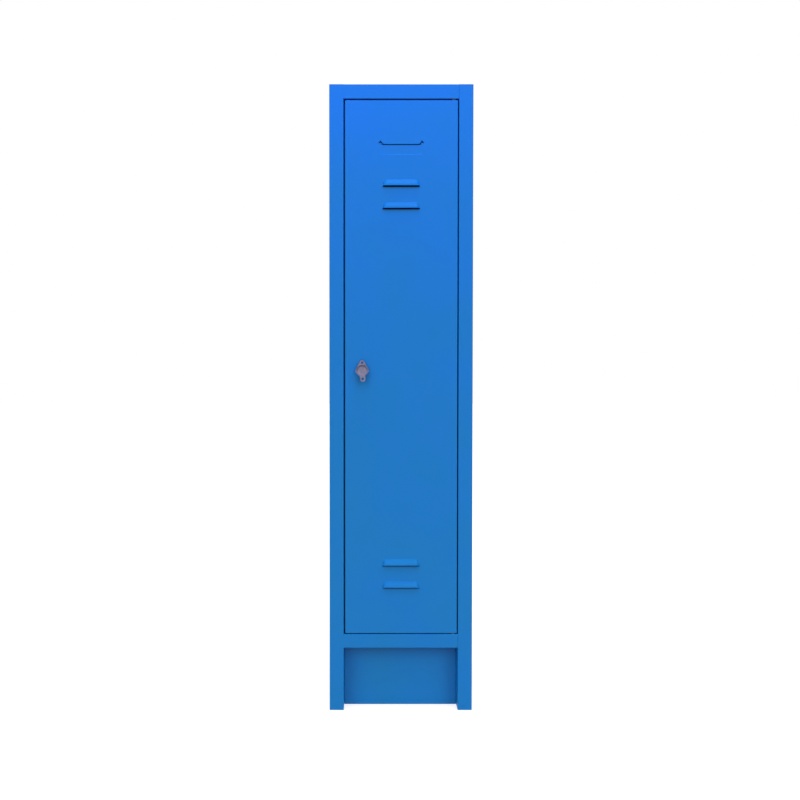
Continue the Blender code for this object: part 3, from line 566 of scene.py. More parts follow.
def round_corners(radius):
    """Rounds the corners in the outline of a flat or folded sheet."""
    pick("VERT", lambda vert: len(vert.link_edges) == 2)
    bpy.ops.mesh.bevel(offset=radius, segments=BEND_STEPS, affect="VERTICES")


def add_modifier(piece, kind, **settings):
    """Adds a modifier to a piece and applies it."""
    hold(piece)
    bpy.ops.object.modifier_add(type=kind)
    step = piece.modifiers[-1]
    for name, value in settings.items():
        setattr(step, name, value)
    bpy.ops.object.modifier_apply(modifier=step.name)


def give_gauge(piece, gauge, facing, bend=BEND):
    """Rounds the folds of a sheet and gives it its thickness behind the side that faces a direction."""
    if bend:
        round_edges(bend)
    face_outwards()
    shape = bmesh.from_edit_mesh(piece.data)
    flats = [face for face in shape.faces if abs(face.normal.dot(Vector(facing))) > SQUARE_ON]
    largest = max(flats, key=lambda face: face.calc_area())
    if largest.normal.dot(Vector(facing)) < 0:
        bpy.ops.mesh.flip_normals()
    settings = {"offset": -1.0, "use_even_offset": True, "use_quality_normals": True}
    add_modifier(piece, "SOLIDIFY", thickness=gauge, **settings)


def shape_with(piece, tool, operation):
    """Cuts a piece with a tool or joins the tool on, and clears the tool away."""
    add_modifier(piece, "BOOLEAN", operation=operation, solver="EXACT", object=tool)
    bpy.data.objects.remove(tool, do_unlink=True)


def bits(places, radius, length, axis):
    """Round cutters, all in one tool."""
    turn = turn_to(axis).to_euler()
    settings = {"vertices": ROUND_SIDES, "radius": radius, "depth": length, "rotation": turn}
    tool = begin("cylinder", "cutters", location=places[0], **settings)
    for place in places[1:]:
        bpy.ops.mesh.primitive_cylinder_add(location=place, **settings)
    return tool


def drill(piece, place, radius, length, axis):
    """Drills a round hole through a piece."""
    shape_with(piece, bits([place], radius, length, axis), "DIFFERENCE")


def spot_weld(piece, places, axis):
    """Leaves the shallow round dents of spot welds in a piece."""
    shape_with(piece, bits(places, WELD_RADIUS, 2 * WELD_DENT, axis), "DIFFERENCE")


def turned(name, place, axis, profile):
    """Starts a round piece: a disc drawn out along an axis through (radius, distance) points."""
    place, axis = Vector(place), Vector(axis)
    radius, start = profile[0]
    settings = {"vertices": ROUND_SIDES, "radius": radius, "fill_type": "NGON"}
    turn = turn_to(axis).to_euler()
    piece = begin("circle", name, location=place + start * axis, rotation=turn, **settings)
    pick("FACE")
    for (last_radius, last), (radius, here) in zip(profile, profile[1:]):
        bpy.ops.mesh.extrude_region_move(TRANSFORM_OT_translate={"value": (here - last) * axis})
        grow = [1.0 if abs(part) > 0.5 else radius / last_radius for part in axis]
        bpy.ops.transform.resize(value=grow, center_override=place + here * axis)
    face_outwards()
    return piece


def wrapped(name, rounds, length, axis):
    """Starts a plate or bar whose outline is drawn tightly round circles, given as (middle, radius)."""
    settings = {"vertices": ROUND_SIDES, "depth": length, "rotation": turn_to(axis).to_euler()}
    (place, radius), *others = rounds
    piece = begin("cylinder", name, location=place, radius=radius, **settings)
    for place, radius in others:
        bpy.ops.mesh.primitive_cylinder_add(location=place, radius=radius, **settings)
    pick("FACE")
    bpy.ops.mesh.convex_hull()
    bpy.ops.mesh.dissolve_limited(angle_limit=FLAT_ANGLE)
    face_outwards()
    return piece


def copied(piece, name, move):
    """A copy of an unfinished piece, with a mesh of its own, moved to its place."""
    hold(piece)
    bpy.ops.object.duplicate(linked=False)
    copy = bpy.context.object
    copy.name = copy.data.name = name
    bpy.ops.transform.translate(value=move)
    bpy.ops.object.transform_apply(location=True, rotation=True, scale=True)
    return copy


def hand_in(piece, node, fixing=None):
    """Ends a piece: smooth bends, true flats, and the finish and body of the CAD node that it stands for.
    A fixing has a finish of its own and only rides with the node."""
    hold(piece, "EDIT")
    pick("VERT")
    bpy.ops.mesh.remove_doubles(threshold=SPECK)
    hold(piece)
    bpy.ops.object.shade_smooth_by_angle(angle=SMOOTH_ANGLE)
    add_modifier(piece, "WEIGHTED_NORMAL", keep_sharp=True)
    slot = fixing or SLOT[node]
    piece.data.materials.clear()
    piece.data.materials.append(FINISHES[slot])
    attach(piece, BODY[node])
    if not fixing:
        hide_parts(node)


def side_sheet(name, side):
    """A side of the carcass: rear flange, wall, and a stile and jamb that return to the wall as a box."""
    wall, jamb = side * HALF_WIDTH, side * OPENING_HALF
    sheet = flat_sheet(f"{name}_side_sheet", (wall, FRONT, 0), (wall, BACK, HEIGHT), (side, 0, 0))
    fold(at(1, BACK), (-side * REAR_FLANGE, 0, 0))
    fold(at(1, FRONT), (jamb - wall, 0, 0))
    fold(at(0, jamb), (0, JAMB_DEPTH, 0))
    fold(at(1, FRONT + JAMB_DEPTH), (side * INNER_HALF - jamb, 0, 0))
    give_gauge(sheet, SHEET, (side, 0, 0))
    # Behind the stile the box stops under the roof sheet.
    ends = sorted((jamb - side * CUT, side * (INNER_HALF + SEAM / 2)))
    low = (ends[0], FRONT + SHEET + SEAM / 2, HEIGHT - SHEET - SEAM)
    high = (ends[1], FRONT + JAMB_DEPTH + CUT, HEIGHT + CUT)
    shape_with(sheet, block("roof_notch", low, high), "DIFFERENCE")
    flange = wall - side * REAR_FLANGE / 2
    count = round(HEIGHT / WELD_PITCH)
    welds = [(flange, BACK, WELD_PITCH / 2 + number * WELD_PITCH) for number in range(count)]
    spot_weld(sheet, welds, (0, 1, 0))
    hand_in(sheet, f"{name}_side_panel")


def railed_sheet(name, top, rail, stile_clearance):
    """A roof or floor: flanges down at its sides and back, and a rail drawn down in front of it."""
    rail_half = OPENING_HALF - SEAM
    flange_start = FRONT + JAMB_DEPTH + SEAM
    sheet = flat_sheet(name, (-INNER_HALF, FRONT, top), (INNER_HALF, PANEL_BACK, top), (0, 0, 1))
    score(0, (-rail_half, rail_half))
    score(1, {FRONT + stile_clearance, flange_start})
    pick("FACE", lambda face: abs(middle(face).x) > rail_half and middle(face).y < FRONT + stile_clearance)
    bpy.ops.mesh.delete(type="FACE")
    fold(at(1, FRONT), (0, 0, -rail))
    fold(at(2, top - rail), (0, RAIL_RETURN, 0))

    def flanged(edge):
        beside = lies(edge, 0, -INNER_HALF, INNER_HALF) and middle(edge).y > flange_start
        return beside or lies(edge, 1, PANEL_BACK)

    fold(flanged, (0, 0, -PANEL_FLANGE))
    give_gauge(sheet, SHEET, (0, 0, 1))
    return sheet


def roof_and_floor():
    """The roof and floor sheets, each drilled for a hinge pin."""
    roof = railed_sheet("roof_sheet", HEIGHT, TOP_RAIL, SHEET + SEAM)
    drill(roof, (HINGE_X, HINGE_Y, OPENING_TOP), PIN_HOLE, 2 * CUT, (0, 0, 1))
    hand_in(roof, "top_panel")
    base = railed_sheet("floor_sheet", FLOOR_HEIGHT, BOTTOM_RAIL, JAMB_DEPTH + SEAM)
    drill(base, (HINGE_X, HINGE_Y, FLOOR_HEIGHT), PIN_HOLE, 2 * CUT, (0, 0, 1))
    hand_in(base, "bottom_panel")


def joint_welds():
    """Dressed welds that fill the joints of rails and stiles: flush at the left, a hair low at the right."""
    rails = {
        "upper": (OPENING_TOP + BEND / 2, HEIGHT - BEND / 2, "top_panel"),
        "lower": (FLOOR_HEIGHT - BOTTOM_RAIL + BEND / 2, FLOOR_HEIGHT - BEND / 2, "bottom_panel"),
    }
    for side, low in (("left", PAINT), ("right", WELD_GROOVE)):
        rail_end, stile = (SIDES[side] * half for half in (OPENING_HALF - SEAM, OPENING_HALF + BEND))
        face, root = FRONT + low, FRONT + BEND
        for rail, (bottom, top, node) in rails.items():
            weld = flat_sheet(f"{rail}_{side}_weld", (rail_end, face, bottom), (stile, face, top), (0, -1, 0))
            pick("FACE")
            bpy.ops.mesh.extrude_region_move(TRANSFORM_OT_translate={"value": (0, root - face, 0)})
            pick("VERT", lambda vert: lies(vert, 1, root) and lies(vert, 0, stile))
            bpy.ops.transform.translate(value=(SIDES[side] * (SEAM - BEND), 0, 0))
            face_outwards()
            round_rims(weld, WELD_ROUND)
            hand_in(weld, node, "blue_powder_coat")


def kick_sheet():
    """The recessed plinth front, flanged back all round."""
    half, top = OPENING_HALF - PAINT, FLOOR_HEIGHT - SHEET - SEAM
    sheet = flat_sheet("kick_sheet", (-half, KICK_FRONT, 0), (half, KICK_FRONT, top), (0, -1, 0))
    fold(everywhere, (0, KICK_FLANGE, 0))
    give_gauge(sheet, SHEET, (0, -1, 0))
    hand_in(sheet, "kick_plate")


def on_skin(face):
    """Whether a face lies in the flat of the door's skin."""
    return lies(face, 1, FRONT)


def in_rows(part, rows):
    """Whether the middle of a part lies within one of some rows of heights."""
    return any(low - TOUCH < middle(part).z < high + TOUCH for low, high in rows)


def press_louvres():
    """Four hoods pushed out of the skin, with round shoulders, each open along its lower edge."""
    hoods = [(lip, lip + LOUVRE_HEIGHT) for lip in LOUVRE_LIPS]
    slots = [(lip - LOUVRE_SLOT, lip) for lip in LOUVRE_LIPS]
    tops = [top for lip, top in hoods]

    def central(face):
        return on_skin(face) and abs(middle(face).x) < TOUCH

    score(2, LOUVRE_LIPS + tops + [bottom for bottom, lip in slots], on_skin)
    score(0, (-LOUVRE_HALF, LOUVRE_HALF), lambda face: on_skin(face) and in_rows(face, hoods + slots))
    pick("VERT", lambda vert: lies(vert, 2, *tops) and lies(vert, 0, -LOUVRE_HALF, LOUVRE_HALF))
    taper = 1 - LOUVRE_TOP_TAPER / LOUVRE_HALF
    bpy.ops.transform.resize(value=(taper, 1, 1), center_override=(0, FRONT, 0))
    bpy.ops.mesh.bevel(offset=LOUVRE_SHOULDER, segments=BEND_STEPS, affect="VERTICES")
    pick("FACE", lambda face: central(face) and in_rows(face, slots))
    bpy.ops.mesh.delete(type="FACE")
    narrow = 1 - LOUVRE_END_SLOPE / LOUVRE_HALF
    for hood in hoods:
        pick("FACE", lambda face: central(face) and in_rows(face, [hood]))
        last_out, last_high = 0.0, 1.0
        for out, high in LOUVRE_PROFILE:
            step = {"value": (0, (last_out - out) * LOUVRE_PROUD, 0)}
            bpy.ops.mesh.extrude_region_move(TRANSFORM_OT_translate=step)
            ends = (1 + out * (narrow - 1)) / (1 + last_out * (narrow - 1))
            bpy.ops.transform.resize(value=(ends, 1, high / last_high), center_override=(0, FRONT, hood[0]))
            last_out, last_high = out, high
    pick("FACE", at(2, *LOUVRE_LIPS))
    bpy.ops.mesh.delete(type="FACE")


def press_label_pocket():
    """A shallow window pushed into the skin, with ramps at its sides and foot."""
    bottom, floor = LABEL_TOP - LABEL_HEIGHT, FRONT + LABEL_DEPTH
    row = [(bottom, LABEL_TOP)]
    score(2, row[0], on_skin)
    score(0, (-LABEL_HALF, LABEL_HALF), lambda face: on_skin(face) and in_rows(face, row))
    pick("FACE", lambda face: on_skin(face) and in_rows(face, row) and abs(middle(face).x) < TOUCH)
    bpy.ops.mesh.extrude_region_move(TRANSFORM_OT_translate={"value": (0, LABEL_DEPTH, 0)})
    foot = (LABEL_HALF - LABEL_RAMP) / LABEL_HALF
    bpy.ops.transform.resize(value=(foot, 1, 1), center_override=(0, floor, 0))
    pick("VERT", lambda vert: lies(vert, 1, floor) and lies(vert, 2, bottom))
    bpy.ops.transform.translate(value=(0, 0, LABEL_RAMP))
    pick("VERT", lambda vert: lies(vert, 1, floor) and lies(vert, 2, LABEL_TOP))
    bpy.ops.transform.resize(value=(SLIT_HALF / LABEL_HALF / foot, 1, 1), center_override=(0, floor, 0))

    def pressed(edge):
        inside = in_rows(edge, row) and abs(middle(edge).x) < LABEL_HALF + TOUCH
        # The upper edges stay sharp, because the slit cuts them away.
        return inside and not lies(edge, 2, LABEL_TOP)

    round_edges(LABEL_ROUND, pressed, EDGE_STEPS)


def label_slit():
    """The blade that slits the skin along the top of the label pocket and turns up, wider, at both ends."""
    slit = LABEL_TOP - SLIT_WIDTH / 2
    low, high = (-SLIT_HALF, FRONT - CUT, slit), (SLIT_HALF, FRONT + 3 * CUT, slit)
    blade = flat_sheet("label_slit", low, high, (0, 0, 1))
    ear, tail = SLIT_HALF, SLIT_HALF + SLIT_EAR[0]
    for side in (-1, 1):
        fold(at(0, side * ear), (side * SLIT_EAR[0], 0, SLIT_EAR[1]))
        fold(at(0, side * tail), (side * SLIT_TAIL[0], 0, SLIT_TAIL[1]))
    add_modifier(blade, "SOLIDIFY", thickness=SLIT_WIDTH, offset=0.0, use_even_offset=True)
    hold(blade, "EDIT")
    face_outwards()
    pick("FACE", lambda face: abs(middle(face).x) > SLIT_HALF + TOUCH)
    bpy.ops.transform.shrink_fatten(value=(EAR_WIDTH - SLIT_WIDTH) / 2, use_even_offset=True)
    return blade


def door_skin():
    """The pressed door: a pan with lips turned in, four louvres and a label pocket."""
    skin = flat_sheet("door_skin", (DOOR_LEFT, FRONT, DOOR_BOTTOM), (DOOR_RIGHT, FRONT, DOOR_TOP), (0, -1, 0))
    fold(everywhere, (0, DOOR_THICKNESS, 0))
    turn_in(1, FRONT + DOOR_THICKNESS, DOOR_LIP)
    round_edges(BEND)
    press_louvres()
    press_label_pocket()
    give_gauge(skin, DOOR_SHEET, (0, -1, 0), bend=0)
    shape_with(skin, label_slit(), "DIFFERENCE")
    drill(skin, (LOCK_X, FRONT, LOCK_Z), BARREL_HOLE, 3 * CUT, (0, 1, 0))
    for height in (DOOR_BOTTOM, DOOR_TOP):
        drill(skin, (HINGE_X, HINGE_Y, height), BUSH_HOLE, 3 * CUT, (0, 0, 1))
    hand_in(skin, "door_panel")


def stiffener():
    """Hat channel spot-welded to the inside of the skin."""
    low = (-STIFFENER_HALF, STIFFENER_CROWN, STIFFENER_BOTTOM)
    high = (STIFFENER_HALF, STIFFENER_CROWN, STIFFENER_TOP)
    channel = flat_sheet("hat_channel", low, high, (0, 1, 0))
    foot = STIFFENER_CROWN - STIFFENER_DEPTH
    fold(at(0, -STIFFENER_HALF, STIFFENER_HALF), (0, foot - STIFFENER_CROWN, 0))
    for side in (-1, 1):
        outwards = (side * (STIFFENER_FOOT - STIFFENER_HALF), 0, 0)
        fold(lambda edge: lies(edge, 0, side * STIFFENER_HALF) and lies(edge, 1, foot), outwards)
    round_corners(CORNER)
    give_gauge(channel, SHEET, (0, 1, 0))
    line = (STIFFENER_HALF + STIFFENER_FOOT) / 2
    rows = [STIFFENER_BOTTOM + FIRST_WELD + number * WELD_PITCH for number in range(STIFFENER_WELDS)]
    spot_weld(channel, [(side * line, foot, height) for side in (-1, 1) for height in rows], (0, 1, 0))
    hand_in(channel, "door_stiffener")


def shelf():
    """The hat shelf: a tray turned upside down, with its edges turned in."""
    corners = (-SHELF_HALF, SHELF_FRONT, SHELF_TOP), (SHELF_HALF, SHELF_BACK, SHELF_TOP)
    tray = flat_sheet("shelf_tray", *corners, (0, 0, 1))
    fold(everywhere, (0, 0, -SHELF_FLANGE))
    turn_in(2, SHELF_TOP - SHELF_FLANGE, SHELF_LIP)
    give_gauge(tray, SHEET, (0, 0, 1))
    hand_in(tray, "hat_shelf")


def angle(node, low, high, facing, fold_line, tread):
    """A folded angle: a leg that lies against a wall, and a tread folded from one edge of it."""
    sheet = flat_sheet(f"{node}_angle", low, high, facing)
    fold(at(*fold_line), tread)
    round_corners(CORNER)
    give_gauge(sheet, ANGLE_SHEET, facing)
    hand_in(sheet, node)


def angles():
    """The runners that the locker stands on, the brackets under the shelf, and the stop for the door."""
    for name, side in SIDES.items():
        wall, tread = side * INNER_HALF, (-side * ANGLE_TREAD, 0, 0)
        start, end = FOOT_SPAN
        corners = (wall, start, 0), (wall, end, ANGLE_LEG)
        angle(f"{name}_foot_runner", *corners, (side, 0, 0), (2, 0), tread)
        start, end = BRACKET_SPAN
        corners = (wall, start, BRACKET_TOP - ANGLE_LEG), (wall, end, BRACKET_TOP)
        angle(f"{name}_shelf_bracket", *corners, (side, 0, 0), (2, BRACKET_TOP), tread)
    corners = (STOP_X, STOP_FRONT, STOP_BOTTOM), (STOP_X, STOP_FRONT + STOP_LEG, STOP_TOP)
    angle("door_stop", *corners, (-1, 0, 0), (1, STOP_FRONT), (STOP_LIP, 0, 0))


def buffers():
    """Rubber buttons on the stop, each with a dimple in its face."""
    profile = [
        (BUFFER_RADIUS, 0),
        (BUFFER_RADIUS, 0.6 * BUFFER_LENGTH),
        (0.92 * BUFFER_RADIUS, 0.85 * BUFFER_LENGTH),
        (0.75 * BUFFER_RADIUS, BUFFER_LENGTH),
        (0.42 * BUFFER_RADIUS, BUFFER_LENGTH),
        (0.30 * BUFFER_RADIUS, 0.8 * BUFFER_LENGTH),
    ]
    place = (BUFFER_X, STOP_FRONT - SEAM, UPPER_BUFFER)
    upper = turned("upper_rubber_button", place, (0, -1, 0), profile)
    lower = copied(upper, "lower_rubber_button", (0, 0, LOWER_BUFFER - UPPER_BUFFER))
    hand_in(upper, "upper_buffer")
    hand_in(lower, "lower_buffer")


def pivots():
    """The hinge: pins with a collar behind the sheet that carries them, running in flanged bushes."""
    ends = {
        "lower": (FLOOR_HEIGHT, 1, DOOR_BOTTOM - FLOOR_HEIGHT),
        "upper": (OPENING_TOP, -1, OPENING_TOP - DOOR_TOP),
    }
    for name, (height, up, gap) in ends.items():
        place, axis = (HINGE_X, HINGE_Y, height), (0, 0, up)
        sheet, tip = -SHEET - SEAM, gap + PIN_REACH
        profile = [
            (PIN_COLLAR_RADIUS - COLLAR_ROUND, sheet - PIN_COLLAR),
            (PIN_COLLAR_RADIUS, sheet - PIN_COLLAR + COLLAR_ROUND),
            (PIN_COLLAR_RADIUS, sheet),
            (PIN_RADIUS, sheet),
            (PIN_RADIUS, tip - PIN_NOSE),
            (PIN_RADIUS - 0.3 * PIN_NOSE, tip - 0.35 * PIN_NOSE),
            (PIN_RADIUS - PIN_NOSE, tip),
        ]
        hand_in(turned(f"{name}_pivot_pin", place, axis, profile), f"{name}_hinge_pin")
        flange = gap - SEAM
        profile = [
            (BUSH_FLANGE - COLLAR_ROUND, SEAM),
            (BUSH_FLANGE, SEAM + COLLAR_ROUND),
            (BUSH_FLANGE, flange),
            (BUSH_RADIUS, flange),
            (BUSH_RADIUS, gap + BUSH_LENGTH - BUSH_NOSE),
            (BUSH_RADIUS - BUSH_NOSE, gap + BUSH_LENGTH),
        ]
        bush = turned(f"{name}_pivot_bush", place, axis, profile)
        drill(bush, place, PIN_HOLE, 6 * BUSH_LENGTH, axis)
        hand_in(bush, f"{name}_hinge_bush")


def on_lock(right, up, forward, tilt=0.0):
    """A point of the lock: right of its axis, above it and in front of the skin, turned by a tilt."""
    across = right * math.cos(tilt) - up * math.sin(tilt)
    above = right * math.sin(tilt) + up * math.cos(tilt)
    return Vector((LOCK_X + across, FRONT - forward, LOCK_Z + above))


def lock_plate(name, rounds, back, front, tilt=0.0):
    """A plate of the lock, drawn round circles given as (right, up, radius)."""
    middle_forward = (back + front) / 2
    circles = [(on_lock(right, up, middle_forward, tilt), radius) for right, up, radius in rounds]
    return wrapped(name, circles, front - back, (0, 1, 0))


def lock_turned(name, profile):
    """A round piece on the lock's axis, through points given as (radius, distance in front of the skin)."""
    return turned(name, on_lock(0, 0, 0), (0, -1, 0), profile)


def lock_block(name, size, forward):
    """Starts a block on the lock's axis, turned by the knob's tilt."""
    return begin("cube", name, size, size=1.0, location=on_lock(0, 0, forward), rotation=(0, -LOCK_TILT, 0))


def lock_casting():
    """The fixed casting: pot on the door, rounded diamond plate with a padlock eye, threaded barrel."""
    side, side_radius = PLATE_SIDE
    chin, chin_radius = CHIN
    outline = [(-side, 0, side_radius), (side, 0, side_radius)]
    outline += [(0, EYE_REACH, LUG_RADIUS), (0, -chin, chin_radius)]
    casting = lock_plate("lock_casting", outline, PLATE_BACK, PLATE_FRONT)
    drill(casting, on_lock(0, EYE_REACH, PLATE_BACK), EYE_RADIUS, LOCK_DRILL, (0, 1, 0))
    round_rims(casting, PLATE_ROUND)
    profile = [(SPINDLE_HOLE + 1 * MM, BARREL_END), (BARREL_RADIUS - THREAD_DEPTH, BARREL_END + 0.5 * MM)]
    ridges = int((-DOOR_SHEET - profile[-1][1]) / THREAD_PITCH)
    for number in range(ridges):
        crest = profile[-1][1] + THREAD_PITCH / 2
        profile += [(BARREL_RADIUS, crest), (BARREL_RADIUS - THREAD_DEPTH, crest + THREAD_PITCH / 2)]
    pot_top = PLATE_BACK + 1 * MM
    profile += [(BARREL_RADIUS, SEAM), (POT_RADIUS, SEAM), (POT_RADIUS, SEAM + 1 * MM)]
    profile += [(POT_RADIUS - 2.2 * MM, PLATE_BACK - 0.6 * MM), (POT_RADIUS - 2.5 * MM, pot_top)]
    shape_with(casting, lock_turned("pot_and_barrel", profile), "UNION")
    drill(casting, on_lock(0, 0, 0), SPINDLE_HOLE, 4 * LOCK_DRILL, (0, 1, 0))
    hand_in(casting, "lock_base")


def lock_fixings():
    """Washer and hexagon nut that hold the casting to the door from inside."""
    radius, front, back = WASHER
    washer = lock_turned("lock_washer_ring", [(radius, back), (radius, front)])
    round_rims(washer, WASHER_ROUND)
    drill(washer, on_lock(0, 0, 0), BARREL_HOLE, LOCK_DRILL, (0, 1, 0))
    hand_in(washer, "lock_washer")
    radius, front, back = NUT
    settings = {"radius": radius, "depth": front - back, "location": on_lock(0, 0, (front + back) / 2)}
    turn = (math.pi / 2, math.pi / 6, 0)
    nut = begin("cylinder", "lock_hexagon_nut", vertices=6, rotation=turn, **settings)
    flat = radius * math.cos(math.pi / 6)
    chamfer = [(flat, back), (radius, back + NUT_CHAMFER), (radius, front - NUT_CHAMFER), (flat, front)]
    shape_with(nut, lock_turned("nut_chamfer", chamfer), "INTERSECT")
    drill(nut, on_lock(0, 0, 0), BARREL_HOLE, LOCK_DRILL, (0, 1, 0))
    hand_in(nut, "lock_nut")


def turning_knob():
    """Round knob with a tail and padlock eye; the riveted end of its spindle shows in the middle."""
    tail = [(0, up, TAIL_RADIUS) for up in (0, -EYE_REACH)]
    knob = lock_plate("turning_knob", tail, TAIL_BACK, TAIL_FRONT, LOCK_TILT)
    drill(knob, on_lock(0, -EYE_REACH, TAIL_BACK, LOCK_TILT), EYE_RADIUS, LOCK_DRILL, (0, 1, 0))
    round_rims(knob, TAIL_ROUND)
    profile = [
        (SPINDLE_RADIUS - 1 * MM, CAM_FRONT - SEAM),
        (SPINDLE_RADIUS, CAM_FRONT + 0.7 * MM),
        (SPINDLE_RADIUS, KNOB_BACK),
        (KNOB_RADIUS - 0.5 * MM, KNOB_BACK),
        (KNOB_RADIUS, KNOB_BACK + 0.5 * MM),
        (KNOB_RADIUS, KNOB_RIM - 1 * MM),
        (KNOB_RADIUS - 0.3 * MM, KNOB_RIM - 0.3 * MM),
        (KNOB_RADIUS - 1 * MM, KNOB_RIM),
        (CROWN_RADIUS + 0.4 * MM, KNOB_RIM),
        (CROWN_RADIUS, KNOB_RIM + 0.4 * MM),
        (CROWN_RADIUS - 0.2 * MM, KNOB_FRONT - 1.6 * MM),
        (CROWN_RADIUS - 0.8 * MM, KNOB_FRONT - 0.5 * MM),
        (CROWN_RADIUS - 2 * MM, KNOB_FRONT),
        (3.4 * MM, KNOB_FRONT),
        (3.1 * MM, KNOB_FRONT - 0.5 * MM),
        (2.5 * MM, KNOB_FRONT - 0.5 * MM),
        (1.6 * MM, KNOB_FRONT - 0.15 * MM),
    ]
    shape_with(knob, lock_turned("knob_crown", profile), "UNION")
    length = SPINDLE_SQUARE + CAM_FRONT - SPINDLE_END
    end = lock_block("spindle_square", (SPINDLE_SQUARE, length, SPINDLE_SQUARE), SPINDLE_END + length / 2)
    round_edges(SPINDLE_ROUND, lambda edge: not lies(edge, 1, FRONT - SPINDLE_END), EDGE_STEPS, RIM_ANGLE)
    shape_with(knob, end, "UNION")
    drill(knob, on_lock(0, 0, SPINDLE_END), SCREW_SHANK[0] + SEAM, 2 * SCREW_HOLE_DEPTH, (0, 1, 0))
    hand_in(knob, "turn_knob")


def cam_and_screw():
    """The cam on the square end of the spindle, and the cross-headed screw that holds it."""
    reach, tip = CAM_TIP
    cam = lock_plate("latch_cam", [(0, 0, CAM_HUB), (reach, 0, tip)], CAM_BACK, CAM_FRONT, LOCK_TILT)
    round_rims(cam, CAM_ROUND)
    hole = lock_block("cam_hole", (CAM_HOLE, LOCK_DRILL / 2, CAM_HOLE), CAM_FRONT)
    shape_with(cam, hole, "DIFFERENCE")
    hand_in(cam, "lock_cam")
    radius, face, end = SCREW_HEAD
    shank, shank_tip = SCREW_SHANK
    profile = [
        (0.55 * radius, end),
        (0.82 * radius, end + 0.35 * MM),
        (0.97 * radius, end + 1 * MM),
        (radius, end + 1.6 * MM),
        (radius, face),
        (shank, face),
        (shank, shank_tip - 0.5 * MM),
        (shank - 0.5 * MM, shank_tip),
    ]
    screw = lock_turned("cam_cross_screw", profile)
    long, wide, deep = SCREW_CROSS
    for size in ((long, 2 * deep, wide), (wide, 2 * deep, long)):
        shape_with(screw, lock_block("screwdriver_slot", size, end), "DIFFERENCE")
    hand_in(screw, "cam_screw")


def oval(name, start, end, radius):
    """A bar along X with the rail's oval outline, grown or shrunk to a radius."""
    x = (start + end) / 2
    circles = [((x, RAIL_Y, RAIL_Z + up * RAIL_STRAIGHT), radius) for up in (-1, 1)]
    return wrapped(name, circles, abs(end - start), (1, 0, 0))


def coat_rail():
    """Oval tube between the two sockets."""
    tube = oval("rail_tube", -RAIL_HALF, RAIL_HALF, RAIL_RADIUS)
    shape_with(tube, oval("rail_bore", -2 * RAIL_HALF, 2 * RAIL_HALF, RAIL_RADIUS - RAIL_WALL), "DIFFERENCE")
    hand_in(tube, "coat_rail")


def rail_socket(name, side):
    """Moulded socket: a flange on the wall and a cup round the end of the rail."""
    radius, thickness = SOCKET_FLANGE
    wall = side * INNER_HALF
    socket = oval(f"{name}_socket_moulding", wall, wall - side * thickness, radius)
    round_rims(socket, SOCKET_FLANGE_ROUND, at(0, wall - side * thickness))
    radius, depth = SOCKET_CUP
    cup = oval("cup", wall, wall - side * depth, radius)
    round_rims(cup, SOCKET_CUP_ROUND, at(0, wall - side * depth))
    shape_with(socket, cup, "UNION")
    mouth = oval("mouth", wall - side * thickness, wall - side * 2 * depth, SOCKET_MOUTH)
    shape_with(socket, mouth, "DIFFERENCE")
    hand_in(socket, f"{name}_rail_socket")


def coat_hooks():
    """Nylon bands that slide along the rail, each with a J-shaped arm under it."""
    x = -HOOK_X
    hook = oval("left_hook_moulding", x - HOOK_WIDTH / 2, x + HOOK_WIDTH / 2, HOOK_BAND)
    shape_with(hook, oval("hook_bore", x - HOOK_WIDTH, x + HOOK_WIDTH, HOOK_BORE), "DIFFERENCE")
    round_rims(hook, HOOK_ROUND)
    top = RAIL_Z - RAIL_STRAIGHT - (HOOK_BAND + HOOK_BORE) / 2
    settings = {"vertices": ROUND_SIDES, "radius": HOOK_ROD, "fill_type": "NOTHING"}
    arm = begin("circle", "hook_arm", location=(x, RAIL_Y, top), **settings)
    pick("EDGE")
    bpy.ops.mesh.extrude_edges_move(TRANSFORM_OT_translate={"value": (0, 0, HOOK_BEND_Z - top)})
    bend = (x, RAIL_Y - HOOK_BEND, HOOK_BEND_Z)
    bpy.ops.mesh.spin(steps=ARC_STEPS, angle=math.pi, center=bend, axis=(1, 0, 0))
    tip = (x, RAIL_Y - 2 * HOOK_BEND, HOOK_BEND_Z)
    for rise, shrink in HOOK_TIP_STEPS:
        bpy.ops.mesh.extrude_edges_move(TRANSFORM_OT_translate={"value": (0, 0, rise)})
        bpy.ops.transform.resize(value=(shrink, shrink, 1), center_override=tip)
    pick("VERT")
    bpy.ops.mesh.remove_doubles(threshold=TOUCH)
    pick("EDGE", lambda edge: edge.is_boundary)
    bpy.ops.mesh.fill_holes(sides=0)
    face_outwards()
    shape_with(hook, arm, "UNION")
    other = copied(hook, "right_hook_moulding", (2 * HOOK_X, 0, 0))
    hand_in(hook, "left_coat_hook")
    hand_in(other, "right_coat_hook")


def rivet_row(name, node, places, inwards, size):
    """A row of domed rivets: the first is modelled and the others are its copies."""
    radius, height = size * RIVET_RADIUS, size * RIVET_HEIGHT
    dome = [(radius, 0), (radius, 0.25 * height), (0.86 * radius, 0.6 * height)]
    dome += [(0.6 * radius, 0.88 * height), (0.35 * radius, height), (0.3 * radius, 0.7 * height)]
    first = turned(f"{name}_{node}_rivet_1", places[0], inwards, dome)
    row = [first]
    for number, place in enumerate(places[1:], 2):
        row.append(copied(first, f"{name}_{node}_rivet_{number}", Vector(place) - Vector(places[0])))
    for rivet in row:
        hand_in(rivet, f"{name}_{node}", "zinc_plated_steel")


